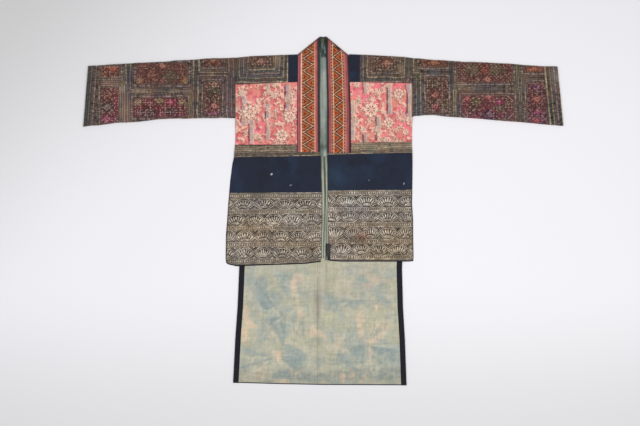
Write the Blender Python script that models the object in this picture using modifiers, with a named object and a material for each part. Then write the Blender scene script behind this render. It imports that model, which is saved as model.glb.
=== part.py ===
"""A patchwork festival jacket of the Hmong, laid flat on its back with the fronts uppermost.

The wearer's right side lies at -X and its pieces end in _r, the left side lies at +X and ends in _l.
The neck points to +Y. Z = 0 is the surface that the jacket lies on.
All sizes are in millimetres and turned into metres where a mesh is made.
"""

import math

import bmesh
import bpy
import numpy as np

MM = 0.001
SEAM_GAP = 0.3  # between two pieces that meet at a seam

# Heights of the layers, from the table up.
CLOTH = 1.2  # the wall of an outer cloth with its backing
LINING_WALL = 1.0
BAND_WALL = 1.2
LAPEL_WALL = 1.3
LINING_BOTTOM = 1.6
LINING_TOP = LINING_BOTTOM + LINING_WALL
FRONT_BOTTOM = 3.1
FRONT_TOP = FRONT_BOTTOM + CLOTH
LAPEL_TOP = 4.6
ON_TABLE = 0.2  # under the corners of the fronts that hang over the back's edges

# The whole outline.
CUFF_REACH = 537.0  # from the middle to the far corner of either cuff
NECK_Y = 389.0  # where the lapel's inner edges turn over; the fold reaches 1.4 higher
HEM_Y = -390.4

# The body.
SLIT_TOP = 128.0  # the side seams are open below this
ARMHOLE_R = -196.0  # x of the armhole seams
ARMHOLE_L = 199.3
BACK_BLOCK_BOTTOM = 285.0  # how far the shoulder pieces reach down behind
LAPEL_TURN_Y = 345.6  # where the lapel's outer edge turns over behind the neck
EDGE_BAND = 12.0  # width of the navy bands down the back's slit edges
HEM_SHOWS = 2.4  # the outer cloth that shows below the lining
CENTRE_SEAM = (-2.2, -11.0)  # x of the lining's centre seam at the fronts' hem and at the back's hem
FRONTS_END = -110.0  # y about which the fronts' hems lie
LINING_NECK_R = 340.0  # the lining's top edge, under the collar's own lining
LINING_NECK_L = 338.5
COLLAR_LINING_LOW = (343.4, 42.0)  # y of its lower edge and its half width there
COLLAR_LINING_HIGH = (385.8, 4.6)

# Where a front's underside leaves the back's layers, by the distance inside the back's edge.
OVERHANG = (-15.0, -5.0)  # down to the table beside the open slit
SIDE_SEAM = (2.0, 15.0)  # down on the outer back along the sewn side seam
SLIT_TO_SEAM = (128.0, 153.0)  # y over which the one becomes the other
SEAM_TO_ARMHOLE = (184.0, 208.0)  # y over which the edge rises to meet the sleeve


def table(columns, *rows):
    """A dictionary of columns by name, from rows of numbers."""
    return dict(zip(columns.split(), np.array(rows, dtype=float).T))


BACK_EDGES = table(
    "y right left",
    (-390.4, -200.5, 188.0),
    (-290.0, -197.0, 184.0),
    (-218.0, -192.6, 179.0),
    (-129.0, -188.2, 175.5),
    (0.0, -190.0, 181.0),
    (135.0, -192.6, 191.5),
    (205.0, -195.4, 198.4),
    (212.0, ARMHOLE_R, ARMHOLE_L),
    (350.0, ARMHOLE_R, ARMHOLE_L),
)
BACK_HEM = table(
    "x y",
    (-201.0, -384.6),
    (-100.0, -387.6),
    (0.0, -389.6),
    (189.0, -390.4),
)
FRONT_SIDES = table(
    "y right left",
    (-121.0, -217.3, 201.6),
    (-57.0, -217.3, 200.0),
    (-21.0, -215.0, 201.0),
    (14.6, -212.8, 198.6),
    (68.0, -208.3, 198.2),
    (104.0, -203.8, 198.2),
    (122.0, -199.4, 198.2),
    (140.0, -196.6, 198.2),
    (194.0, -196.6, 198.4),
    (209.0, ARMHOLE_R, ARMHOLE_L),
    (350.0, ARMHOLE_R, ARMHOLE_L),
)
FRONT_CENTRES = table(
    "y right left",
    (-121.0, -5.4, 13.4),
    (40.0, -6.2, 11.0),
    (128.0, -6.4, 11.4),
)
LAPEL_EDGES = table(
    "y right_outer right_inner left_inner left_outer",
    (130.0, -58.4, -7.4, 9.2, 61.8),
    (346.0, -57.4, -8.2, 8.4, 60.2),
)
SHOULDER_LINE = table(
    "x y",
    (-196.0, 342.2),
    (-159.0, 346.0),
    (-78.4, 349.0),
    (-51.0, 350.0),
    (60.0, 350.0),
    (100.0, 348.6),
    (181.0, 344.0),
    (199.0, 341.6),
)
# Seams across the fronts: their y at the side and at the centre.
SEAMS_R = {
    "block": (282.6, 287.8),
    "chest": (148.0, 148.2),
    "lapel_foot": (131.0, 131.0),
    "strip": (120.6, 123.6),
    "navy": (39.8, 41.8),
    "binding": (-118.0, -111.4),
    "hem": (-121.0, -114.2),
}
SEAMS_L = {
    "block": (287.0, 287.6),
    "chest": (154.4, 150.8),
    "lapel_foot": (129.4, 129.4),
    "strip": (131.0, 126.4),
    "navy": (47.4, 45.4),
    "binding": (-108.4, -108.4),
    "hem": (-111.2, -111.2),
}

# The sleeves, by the distance along them from the armhole to the cuff, 0 to 1.
SLEEVE_R = table(
    "along top bottom height",
    (0.0, 342.0, 209.4, 4.3),
    (0.16, 341.6, 209.4, 4.8),
    (0.37, 337.1, 208.6, 5.4),
    (0.48, 333.8, 207.2, 5.2),
    (0.59, 332.2, 202.7, 5.4),
    (0.81, 328.2, 197.4, 5.2),
    (1.0, 325.0, 189.6, 4.6),
)
SLEEVE_L = table(
    "along top bottom height",
    (0.0, 341.6, 211.7, 4.3),
    (0.08, 339.6, 215.6, 4.8),
    (0.19, 337.1, 213.9, 5.2),
    (0.35, 333.8, 209.4, 5.4),
    (0.62, 330.4, 201.5, 5.2),
    (0.78, 325.9, 197.2, 5.2),
    (1.0, 322.8, 191.0, 4.6),
)
CUFF_TOP_IN = 11.4  # how much further in the cuff's upper corner lies
# The pale facings that have rolled out at the centre opening.
FACING_ENDS = (-106.0, 122.0)
FACING_ROLL = {"r": {"width": 8.2, "height": 1.3}, "l": {"width": 6.4, "height": 0.9}}
FACING_NARROWS = 0.72  # its share of the full width towards the hem

# The loose navy patch at the left front's lower centre corner.
PATCH_X = (6.2, 17.0)
PATCH_Y = (-110.6, -73.0)
PATCH_LIFT = 0.8  # over the facing beside the front

FOLD_SHARES = (0.42, 0.62)  # the share of a shoulder piece at which its fold starts and ends
YOKE_EDGE = {"r": -78.6, "l": 79.0}  # x of the seam between navy yoke and patchwork block

SLEEVE_RINGS = {
    "inner": {"r": (0.0, 0.23), "l": (0.0, 0.265), "steps": 4},
    "middle": {"r": (0.23, 0.70), "l": (0.265, 0.705), "steps": 7},
    "outer": {"r": (0.70, 0.917), "l": (0.705, 0.90), "steps": 4},
    "cuff": {"r": (0.917, 1.0), "l": (0.90, 1.0), "steps": 2},
}

# Soft creases pressed into the laid cloth: a ridge from one point to another.
CREASES = table(
    "x0 y0 x1 y1 half_width rise",
    (-180.0, -20.0, -95.0, -125.0, 16.0, 1.4),
    (-40.0, -30.0, -75.0, -125.0, 13.0, 1.1),
    (-150.0, 118.0, -120.0, 30.0, 15.0, 0.8),
    (60.0, -10.0, 95.0, -118.0, 15.0, 1.3),
    (165.0, 20.0, 150.0, -118.0, 14.0, 1.1),
    (120.0, 120.0, 90.0, 40.0, 16.0, 0.8),
    (-160.0, 260.0, -110.0, 160.0, 15.0, 0.9),
    (95.0, 270.0, 150.0, 165.0, 16.0, 0.9),
    (-120.0, -160.0, -165.0, -280.0, 15.0, 1.2),
    (-60.0, -170.0, -120.0, -330.0, 17.0, 1.4),
    (-25.0, -210.0, -55.0, -370.0, 13.0, 0.9),
    (60.0, -150.0, 45.0, -300.0, 16.0, 1.1),
    (130.0, -190.0, 95.0, -350.0, 16.0, 1.3),
    (-480.0, 300.0, -440.0, 205.0, 15.0, 0.6),
    (-390.0, 322.0, -330.0, 218.0, 18.0, 0.7),
    (-285.0, 330.0, -250.0, 225.0, 15.0, 0.7),
    (255.0, 330.0, 275.0, 220.0, 15.0, 0.7),
    (350.0, 322.0, 395.0, 214.0, 18.0, 0.7),
    (455.0, 312.0, 490.0, 205.0, 15.0, 0.6),
)

NAVY = (0.026, 0.034, 0.060)
NEAR_BLACK = (0.020, 0.020, 0.028)
BATIK = (0.24, 0.20, 0.16)
PATCHWORK = (0.15, 0.095, 0.075)
CORAL = (0.62, 0.27, 0.24)
RIBBON = (0.40, 0.12, 0.06)
PALE_LINING = (0.44, 0.45, 0.37)
COLLAR_LINING = (0.06, 0.08, 0.075)


def between(rows, column, by, at):
    """A table's column, read at a value of another column."""
    return float(np.interp(at, rows[by], rows[column]))


def smooth(low, high, value):
    """0 below low, 1 above high and an S-curve from one to the other."""
    t = min(max((value - low) / (high - low), 0.0), 1.0)
    return t * t * (3.0 - 2.0 * t)


def mix(a, b, t):
    return a + (b - a) * t


def crease_rise(x, y):
    """How far the soft creases lift the cloth at a point."""
    x0, y0 = CREASES["x0"], CREASES["y0"]
    dx, dy = CREASES["x1"] - x0, CREASES["y1"] - y0
    t = ((x - x0) * dx + (y - y0) * dy) / (dx * dx + dy * dy)
    near = np.clip(t, 0.0, 1.0)
    away = np.hypot(x - x0 - near * dx, y - y0 - near * dy) / CREASES["half_width"]
    ends = np.sin(math.pi * np.clip(0.08 + 0.84 * t, 0.0, 1.0))
    return float((CREASES["rise"] * np.exp(-away * away) * ends).sum())


def inside_back(x, y):
    """How far a point lies inside the back's edge, negative where it hangs over."""
    column = "right" if x < 0.0 else "left"
    return abs(between(BACK_EDGES, column, "y", y)) - abs(x)


def front_bottom(x, y):
    """The underside of a front: over the back's layers, and down at its side edge."""
    inside = inside_back(x, y)
    over_slit = mix(ON_TABLE, FRONT_BOTTOM, smooth(*OVERHANG, inside))
    at_side_seam = mix(CLOTH + SEAM_GAP, FRONT_BOTTOM, smooth(*SIDE_SEAM, inside))
    height = mix(over_slit, at_side_seam, smooth(*SLIT_TO_SEAM, y))
    return mix(height, FRONT_BOTTOM, smooth(*SEAM_TO_ARMHOLE, y))


def front_top(x, y):
    """The upper face of a front, lifted by its creases away from its side edge."""
    settle = smooth(-12.0, 26.0, inside_back(x, y))
    return front_bottom(x, y) + CLOTH + settle * crease_rise(x, y)


def lining_lift(x, y):
    """The lining's creases, which fade out under the fronts."""
    return smooth(12.0, 40.0, FRONTS_END - y) * crease_rise(x, y)


def paint(name, colour, roughness):
    material = bpy.data.materials.new(name)
    material.use_nodes = True
    shader = material.node_tree.nodes["Principled BSDF"]
    shader.inputs["Base Color"].default_value = (*colour, 1.0)
    shader.inputs["Roughness"].default_value = roughness
    shader.inputs["Metallic"].default_value = 0.0
    material.diffuse_color = (*colour, 1.0)
    return material


def cloth(name, shape, across, along, wall, colour, tube=False):
    """One piece of cloth: a grid laid out by shape(u, v), u and v from 0 to 1, and given its wall."""
    grid = bmesh.new()
    bmesh.ops.create_grid(grid, x_segments=across, y_segments=along, size=1.0)
    for point in grid.verts:
        place = shape((point.co.x + 1.0) / 2.0, (point.co.y + 1.0) / 2.0)
        point.co = [MM * value for value in place]
    if tube:
        bmesh.ops.remove_doubles(grid, verts=grid.verts, dist=0.00001)
    grid.normal_update()
    highest = max(grid.faces, key=lambda face: face.calc_center_median().z)
    if highest.normal.z < 0.0:
        bmesh.ops.reverse_faces(grid, faces=grid.faces)
    mesh = bpy.data.meshes.new(name)
    grid.to_mesh(mesh)
    grid.free()
    mesh.shade_smooth()
    mesh.set_sharp_from_angle(angle=math.radians(50.0))
    piece = bpy.data.objects.new(name, mesh)
    garment.objects.link(piece)
    mesh.materials.append(paint(name + "_cloth", colour, 0.9))
    thicken = piece.modifiers.new("wall", "SOLIDIFY")
    thicken.thickness = wall * MM
    thicken.offset = -1.0
    thicken.use_even_offset = True
    return piece


def lapel_fold(side):
    """The slanting line on which a lapel folds: its low and high ends and its slope."""
    column = "right" if side == "r" else "left"
    low = (between(LAPEL_EDGES, column + "_outer", "y", LAPEL_TURN_Y), LAPEL_TURN_Y)
    high = (between(LAPEL_EDGES, column + "_inner", "y", LAPEL_TURN_Y), NECK_Y)
    return low, high, math.atan2(high[1] - low[1], abs(high[0] - low[0]))


def neck_seam_y(x):
    """The lower edge of the folded lapel behind the neck."""
    low, _, slope = lapel_fold("r" if x < 0.0 else "l")
    radius = LAPEL_TOP / 2.0
    start_x = abs(low[0]) + math.pi * radius * math.sin(slope)
    start_y = low[1] - radius / math.cos(slope) + math.pi * radius * math.cos(slope)
    return start_y - (start_x - abs(x)) / math.tan(2.0 * slope)


def make_back():
    """The outer back, its yoke, the lining in two halves and the bands down the slit edges."""

    def back_point(u, v):
        y = mix(HEM_Y, BACK_BLOCK_BOTTOM - SEAM_GAP, v)
        x = mix(between(BACK_EDGES, "right", "y", y), between(BACK_EDGES, "left", "y", y), u)
        hem = between(BACK_HEM, "y", "x", x)
        return x, mix(hem, BACK_BLOCK_BOTTOM - SEAM_GAP, v), CLOTH

    def yoke_point(u, v):
        right = between(LAPEL_EDGES, "right_outer", "y", LAPEL_TURN_Y)
        left = between(LAPEL_EDGES, "left_outer", "y", LAPEL_TURN_Y)
        beside_centre = SEAM_GAP / 2.0
        places = (0.0, 0.5, 0.75, 1.0)
        x = float(np.interp(u, places, (right, -beside_centre, beside_centre, left)))
        top = min(neck_seam_y(x), LAPEL_TURN_Y - 2.0 * SEAM_GAP) - SEAM_GAP
        return x, mix(BACK_BLOCK_BOTTOM, top, v), CLOTH

    cloth("back_outer", back_point, 6, 12, CLOTH, NAVY)
    cloth("back_yoke", yoke_point, 4, 1, CLOTH, NAVY)
    for side, column in (("r", "right"), ("l", "left")):
        make_lining_half(side, column)
        make_edge_band(side, column)


def make_lining_half(side, column):
    """One half of the lining, from the centre seam to the band."""
    turn = -1.0 if side == "r" else 1.0
    top = LINING_NECK_R if side == "r" else LINING_NECK_L

    def point(u, v):
        y = mix(HEM_Y, top, v)
        seam = mix(*CENTRE_SEAM, smooth(-FRONTS_END, -HEM_Y, -y))
        edge = between(BACK_EDGES, column, "y", y) - turn * (EDGE_BAND + SEAM_GAP)
        x = mix(seam + turn * SEAM_GAP / 2.0, edge, u)
        hem = between(BACK_HEM, "y", "x", x) + HEM_SHOWS
        y = mix(hem, top, v)
        return x, y, LINING_TOP + lining_lift(x, y)

    cloth("back_lining_" + side, point, 6, 20, LINING_WALL, PALE_LINING)


def make_edge_band(side, column):
    """The navy band that faces the back's slit edge."""
    turn = -1.0 if side == "r" else 1.0

    def point(u, v):
        y = mix(HEM_Y, SLIT_TOP, v)
        edge = between(BACK_EDGES, column, "y", y)
        x = edge - turn * EDGE_BAND * (1.0 - u)
        hem = between(BACK_HEM, "y", "x", x)
        y = mix(hem, SLIT_TOP, v)
        return x, y, LINING_BOTTOM + BAND_WALL + 0.6 * lining_lift(x, y)

    cloth("back_edge_band_" + side, point, 2, 16, BAND_WALL, NEAR_BLACK)


def side_columns(u):
    """Grid columns that crowd towards the side edge, where the front turns down."""
    return float(np.interp(u, (0.0, 0.125, 0.25, 0.375, 1.0), (0.0, 0.035, 0.075, 0.13, 1.0)))


def make_front(side):
    """The pieces of one front, stitched edge to edge from the shoulder block to the hem."""
    column = "right" if side == "r" else "left"
    turn = -1.0 if side == "r" else 1.0
    seams = SEAMS_R if side == "r" else SEAMS_L
    outer_edge = column + "_outer"

    def seam_y(seam, x):
        at_side, at_centre = seams[seam]
        t = (abs(x) - 5.0) / 195.0
        return mix(at_centre, at_side, t)

    def centre_x(y, under_lapel):
        if under_lapel:
            return between(LAPEL_EDGES, outer_edge, "y", y) + turn * SEAM_GAP
        return between(FRONT_CENTRES, column, "y", y)

    def front_piece(name, low, high, rows, columns, colour, lapel_side=False):
        def point(u, v):
            y = mix(seam_y(low, turn * 150.0), seam_y(high, turn * 150.0), v)
            edge = between(FRONT_SIDES, column, "y", y)
            x = mix(edge, centre_x(y, lapel_side), side_columns(u))
            half = SEAM_GAP / 2.0
            y = mix(seam_y(low, x) + half, seam_y(high, x) - half, v)
            return x, y, front_top(x, y)

        cloth(name + "_" + side, point, columns, rows, CLOTH, colour)

    front_piece("chest_panel", "chest", "block", 7, 8, CORAL, lapel_side=True)
    front_piece("navy_band", "navy", "strip", 4, 8, NAVY)
    front_piece("batik_hem", "binding", "navy", 9, 8, BATIK)
    front_piece("hem_binding", "hem", "binding", 1, 8, NEAR_BLACK)
    make_batik_strip(side, seam_y, centre_x)
    make_facing(side, column)
    make_shoulder(side, seam_y)


def make_batik_strip(side, seam_y, centre_x):
    """The narrow strip under the chest panel. It runs on under the lapel's foot to the centre."""
    turn = -1.0 if side == "r" else 1.0
    column = "right" if side == "r" else "left"
    foot_slant = 0.4
    foot = between(LAPEL_EDGES, column + "_outer", "y", 131.0) + turn * (SEAM_GAP + foot_slant)
    places = (0.0, 0.1, 0.2, 0.35, 0.7, 0.75, 1.0)

    def point(u, v):
        y = seam_y("strip", turn * 150.0)
        edge = between(FRONT_SIDES, column, "y", y + 14.0 * v)
        centre = centre_x(y, False)
        at_foot = (abs(edge) - abs(foot)) / (abs(edge) - turn * centre)
        step = foot_slant / (abs(edge) - turn * centre)
        shares = (0.0, 0.05, 0.1, 0.2, at_foot, at_foot + step, 1.0)
        x = mix(edge, centre, float(np.interp(u, places, shares)))
        low = seam_y("strip", x) + SEAM_GAP / 2.0
        past_foot = turn * x < abs(foot) - foot_slant / 2.0
        high = seam_y("lapel_foot" if past_foot else "chest", x) - SEAM_GAP / 2.0
        if past_foot:
            high -= SEAM_GAP
        y = mix(low, high, v)
        return x, y, front_top(x, y)

    cloth("batik_strip_" + side, point, 20, 2, CLOTH, BATIK)


def make_facing(side, column):
    """The pale facing that has rolled out at the centre opening."""
    roll = FACING_ROLL[side]
    inward = 1.0 if side == "r" else -1.0

    def point(u, v):
        y = mix(*FACING_ENDS, v)
        start = between(FRONT_CENTRES, column, "y", y) + inward * SEAM_GAP
        share = mix(FACING_NARROWS, 1.0, smooth(-60.0, 90.0, y))
        rise = roll["height"] * share * math.sin(math.pi * u)
        return start + inward * roll["width"] * share * u, y, FRONT_BOTTOM + LINING_WALL + rise

    cloth("centre_facing_" + side, point, 4, 12, LINING_WALL, PALE_LINING)


def over_shoulder(x, v, front_end):
    """A point of cloth that comes up the front, folds over the shoulder line and goes down behind."""
    height = FRONT_TOP
    radius = height / 2.0
    crest = between(SHOULDER_LINE, "y", "x", x) - radius
    front, back = FOLD_SHARES
    if v < front:
        y = mix(front_end, crest, v / front)
        settle = smooth(0.0, 20.0, crest - y)
        return x, y, height + settle * crease_rise(x, y)
    if v > back:
        return x, mix(crest, BACK_BLOCK_BOTTOM, (v - back) / (1.0 - back)), 0.0
    angle = math.pi * (v - front) / (back - front)
    return x, crest + radius * math.sin(angle), radius * (1.0 + math.cos(angle))


def fold_rows(v):
    """Grid rows that crowd into the fold at the shoulder."""
    return float(np.interp(v, (0.0, 0.4, 0.8, 1.0), (0.0, *FOLD_SHARES, 1.0)))


def make_shoulder(side, seam_y):
    """The patchwork block and the navy yoke beside the lapel, both folded over the shoulder."""
    column = "right" if side == "r" else "left"
    turn = -1.0 if side == "r" else 1.0
    armhole = ARMHOLE_R if side == "r" else ARMHOLE_L
    yoke_edge = YOKE_EDGE[side]
    half_gap = turn * SEAM_GAP / 2.0

    def block_point(u, v):
        x = mix(armhole, yoke_edge + half_gap, u)
        return over_shoulder(x, fold_rows(v), seam_y("block", x) + SEAM_GAP / 2.0)

    def yoke_point(u, v):
        lapel = between(LAPEL_EDGES, column + "_outer", "y", LAPEL_TURN_Y) + 4.0 * half_gap
        x = mix(yoke_edge - half_gap, lapel, u)
        return over_shoulder(x, fold_rows(v), seam_y("block", x) + SEAM_GAP / 2.0)

    cloth("shoulder_block_" + side, block_point, 6, 10, CLOTH, PATCHWORK)
    cloth("shoulder_yoke_" + side, yoke_point, 1, 10, CLOTH, NAVY)


def make_sleeve(side):
    """A sleeve: a flattened tube of four patchwork rings with an open cuff."""
    rows = SLEEVE_R if side == "r" else SLEEVE_L
    turn = -1.0 if side == "r" else 1.0
    armhole = ARMHOLE_R if side == "r" else ARMHOLE_L
    upper_steps, fold_steps, under_steps = 8, 3, 2
    around = upper_steps + under_steps + 2 * fold_steps

    def section(along, place):
        """A point of the flattened tube, place from 0 to around, counted from the lower fold."""
        top = between(rows, "top", "along", along)
        bottom = between(rows, "bottom", "along", along)
        height = between(rows, "height", "along", along)
        radius = height / 2.0
        if place <= upper_steps:
            share = place / upper_steps
            y = mix(bottom + radius, top - radius, share)
            flat = smooth(0.0, 0.14, share) * smooth(0.0, 0.14, 1.0 - share)
            x = sleeve_x(along, (y - bottom) / (top - bottom))
            return y, height + flat * crease_rise(x, y)
        place -= upper_steps
        if place <= fold_steps:
            angle = math.pi * place / fold_steps
            return top - radius + radius * math.sin(angle), radius * (1.0 + math.cos(angle))
        place -= fold_steps
        if place <= under_steps:
            return mix(top - radius, bottom + radius, place / under_steps), 0.0
        angle = math.pi * (place - under_steps) / fold_steps
        return bottom + radius - radius * math.sin(angle), radius * (1.0 - math.cos(angle))

    def sleeve_x(along, up):
        cuff = turn * (CUFF_REACH - CUFF_TOP_IN * up)
        return mix(armhole, cuff, along)

    for name, ring in SLEEVE_RINGS.items():
        start, end = ring[side]
        reach = abs(turn * CUFF_REACH - armhole)
        start += (SEAM_GAP if start == 0.0 else SEAM_GAP / 2.0) / reach
        end -= 0.0 if end == 1.0 else SEAM_GAP / 2.0 / reach

        def point(u, v):
            along = mix(start, end, v)
            y, z = section(along, u * around)
            top = between(rows, "top", "along", along)
            bottom = between(rows, "bottom", "along", along)
            return sleeve_x(along, (y - bottom) / (top - bottom)), y, z

        cloth("sleeve_" + name + "_" + side, point, around, ring["steps"], CLOTH, PATCHWORK, tube=True)


def make_lapel(side):
    """One half of the long woven lapel: up the front, folded aslant at the shoulder, on behind the neck."""
    column = "right" if side == "r" else "left"
    turn = -1.0 if side == "r" else 1.0
    fold_low, fold_high, slope = lapel_fold(side)
    radius = LAPEL_TOP / 2.0
    foot_y = 131.0 if side == "r" else 129.4
    leg, bend = 0.6, 0.85

    def edge_x(edge, y):
        return between(LAPEL_EDGES, column + edge, "y", y)

    def point(u, v):
        fold_x = mix(fold_low[0], fold_high[0], u)
        fold_y = mix(fold_low[1], fold_high[1], u) - radius / math.cos(slope)
        if v <= leg:
            y = mix(foot_y + SEAM_GAP, fold_y, v / leg)
            x = mix(edge_x("_outer", y), edge_x("_inner", y), u)
            return x, y, LAPEL_TOP + 0.5 * smooth(0.0, 40.0, fold_y - y) * crease_rise(x, y)
        if v <= bend:
            turned = math.pi * radius * (v - leg) / (bend - leg)
        else:
            last = (abs(fold_x) - SEAM_GAP / 2.0) / (2.0 * math.sin(slope)) + math.pi * radius / 2.0
            turned = mix(math.pi * radius, last, (v - bend) / (1.0 - bend))
        past = turned / math.cos(slope)
        if turned <= math.pi * radius:
            outward = radius * math.sin(turned / radius)
            z = radius * (1.0 + math.cos(turned / radius))
        else:
            outward = math.pi * radius - turned
            z = 0.0
        along = past * math.sin(slope)
        x = abs(fold_x) - along * math.cos(slope) + outward * math.sin(slope)
        y = fold_y + along * math.sin(slope) + outward * math.cos(slope)
        return turn * x, y, z

    cloth("lapel_" + side, point, 4, 20, LAPEL_WALL, RIBBON)


def make_collar_lining():
    """The dark lining of the lapel where it passes behind the neck."""

    def point(u, v):
        y = mix(COLLAR_LINING_LOW[0], COLLAR_LINING_HIGH[0], v)
        half = mix(COLLAR_LINING_LOW[1], COLLAR_LINING_HIGH[1], v)
        return mix(-half, half, u), y, LINING_TOP

    cloth("collar_lining", point, 4, 2, LINING_WALL, COLLAR_LINING)


def make_corner_patch():
    """The loose navy patch on the left front's lower centre corner."""

    def point(u, v):
        y = mix(*PATCH_Y, v)
        return mix(*PATCH_X, u), y, front_top(PATCH_X[1], y) + PATCH_LIFT + LINING_WALL

    cloth("corner_patch_l", point, 2, 4, LINING_WALL, NEAR_BLACK)


for old in list(bpy.data.objects):
    bpy.data.objects.remove(old, do_unlink=True)
garment = bpy.data.collections.new("hmong_embroidered_jacket")
bpy.context.scene.collection.children.link(garment)

make_back()
for each_side in ("r", "l"):
    make_front(each_side)
    make_sleeve(each_side)
    make_lapel(each_side)
make_collar_lining()
make_corner_patch()
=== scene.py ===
"""A Hmong patchwork jacket laid flat: its cloths, dyes, embroidery and stitching.

The wearer's right side lies at -X and its pieces end in _r, the left side lies at +X and ends in _l.
Sizes are in millimetres until a mesh is made. The shapes repeat the formulas of the solid pieces at a
finer pitch, and each cloth is painted point by point by the functions that lay out its pattern.
"""

import math

import bpy
import numpy as np
from mathutils.bvhtree import BVHTree
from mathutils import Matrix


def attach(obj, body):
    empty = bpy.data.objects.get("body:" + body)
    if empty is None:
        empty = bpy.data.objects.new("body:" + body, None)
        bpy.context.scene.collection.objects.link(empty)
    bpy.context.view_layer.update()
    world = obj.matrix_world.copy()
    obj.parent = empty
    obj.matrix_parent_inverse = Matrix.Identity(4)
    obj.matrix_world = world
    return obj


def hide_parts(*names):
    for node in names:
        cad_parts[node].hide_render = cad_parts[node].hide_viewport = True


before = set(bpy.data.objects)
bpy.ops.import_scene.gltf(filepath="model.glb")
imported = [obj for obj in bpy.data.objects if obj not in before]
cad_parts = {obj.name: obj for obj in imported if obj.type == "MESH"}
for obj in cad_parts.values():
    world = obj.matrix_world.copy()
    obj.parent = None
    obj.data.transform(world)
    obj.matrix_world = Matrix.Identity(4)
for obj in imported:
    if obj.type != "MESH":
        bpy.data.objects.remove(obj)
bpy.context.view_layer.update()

MM = 0.001
SEAM_GAP = 0.3  # between two pieces that meet at a seam
CLOTH = 1.2  # the wall of an outer cloth with its backing
LINING_WALL = 1
BAND_WALL = 1.2
LAPEL_WALL = 1.3
LINING_BOTTOM = 1.6
LINING_TOP = LINING_BOTTOM + LINING_WALL
FRONT_BOTTOM = 3.1
FRONT_TOP = FRONT_BOTTOM + CLOTH
LAPEL_TOP = 4.6
ON_TABLE = 0.2  # under the corners of the fronts that hang over the back's edges

CUFF_REACH = {"r": 536.5, "l": 536.6}  # from the middle to the far corner of a cuff
CUFF_TOP_IN = {"r": 11, "l": 13.4}  # how much nearer its upper corner is
NECK_Y = 389  # where the lapel's inner edges turn over
LAPEL_TURN_Y = {"r": 349.6, "l": 347.8}  # where its outer edges turn over
HEM_Y = -390.4
FRONTS_END = -110
ARMHOLE = {"r": -196, "l": 199.3}
SLIT_TOP = 128  # the side seams are open below this
BACK_BLOCK_BOTTOM = 285  # how far the shoulder pieces reach down behind
EDGE_BAND = 12
HEM_SHOWS = 2.4  # the outer cloth that shows below the lining
HEM_SAG = {"r": 3.2, "l": 2.4}
CENTRE_SEAM = (-2.2, -12.9)  # x of the lining's centre seam between the fronts and below them
SEAM_LEANS = (50, 114)  # how far below the middle the seam goes over from the one to the other
LINING_NECK = 342.9
COLLAR_LINING_LOW = (343.4, 42)  # y of its lower edge and its half width there
COLLAR_LINING_HIGH = (385.8, 4.6)
OVERHANG = (-15, -5)  # beside the slit a front comes up here, counted inwards from the back's edge
SIDE_SEAM = (2, 15)  # and here along the sewn side seam
SLIT_TO_SEAM = (128, 153)  # y over which the one becomes the other
SEAM_TO_ARMHOLE = (184, 208)  # y over which the edge rises to meet the sleeve
FACING_ENDS = (-106, 122)
FACING_ROLL = {"r": {"width": 8.2, "height": 1.3}, "l": {"width": 6.4, "height": 0.9}}
FACING_NARROWS = 0.72
PATCH_X = (5, 15.8)
PATCH_Y = (-110.6, -73)
PATCH_LIFT = 0.8
FOLD_SHARES = (0.42, 0.62)  # where a shoulder piece's fold starts and ends
YOKE_EDGE = {"r": -78.6, "l": 81.2}
SLEEVE_WIDTH = 134  # the usual width of a flat sleeve, half its way round
MID_FRONT = 150  # how far out from the middle a front's seams are read
TURN = {"r": -1, "l": 1}
COLUMN = {"r": "right", "l": "left"}


def table(columns, *rows):
    """A dictionary of columns by name, from rows of numbers."""
    return dict(zip(columns.split(), np.array(rows, dtype=float).T))


BACK_EDGES = table(
    "y right left",
    (-390.4, -201.7, 186.2),
    (-290, -196.7, 182.6),
    (-218, -191.6, 178.3),
    (-129, -187.9, 176),
    (0, -190, 181),
    (135, -192.6, 191.5),
    (205, -195.4, 198.4),
    (212, ARMHOLE["r"], ARMHOLE["l"]),
    (350, ARMHOLE["r"], ARMHOLE["l"]),
)
BACK_HEM = table("x y", (-201, -384.6), (-100, -387.6), (0, -389.6), (189, -390.4))
FRONT_SIDES = table(
    "y right left",
    (-121, -217.4, 201.2),
    (-117, -218.2, 201.5),
    (-111, -218.4, 201.4),
    (-104, -218.3, 202),
    (-96, -218.2, 201.8),
    (-57, -217.8, 201),
    (-21, -215, 201),
    (14.6, -212.8, 198.6),
    (68, -208.3, 199.6),
    (104, -203.8, 199.7),
    (122, -199.4, 199.5),
    (140, -196.6, 198.2),
    (194, -196.6, 198.4),
    (209, ARMHOLE["r"], ARMHOLE["l"]),
    (350, ARMHOLE["r"], ARMHOLE["l"]),
)
FRONT_CENTRES = table(
    "y right left",
    (-121, -5.4, 13.4),
    (-86, -5, 12),
    (-14, -3.6, 11),
    (40, -4, 10.8),
    (90, -5.6, 10.2),
    (128, -6.4, 9),
)
LAPEL_EDGES = table(
    "y right_outer right_inner left_inner left_outer",
    (130, -58.4, -7.4, 9.2, 61.8),
    (227, -58, -7.8, 8.9, 61.3),
    (292, -57.7, -8, 7.8, 58.8),
    (346, -57.4, -8.2, 6.4, 57),
    (389, -57.4, -8.2, 7.6, 57),
)
SHOULDER_LINE = table(
    "x y",
    (-196, 342.2),
    (-159, 346),
    (-78.4, 349),
    (-51, 350),
    (60, 350),
    (100, 348.6),
    (181, 344),
    (199, 341.6),
)
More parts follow.
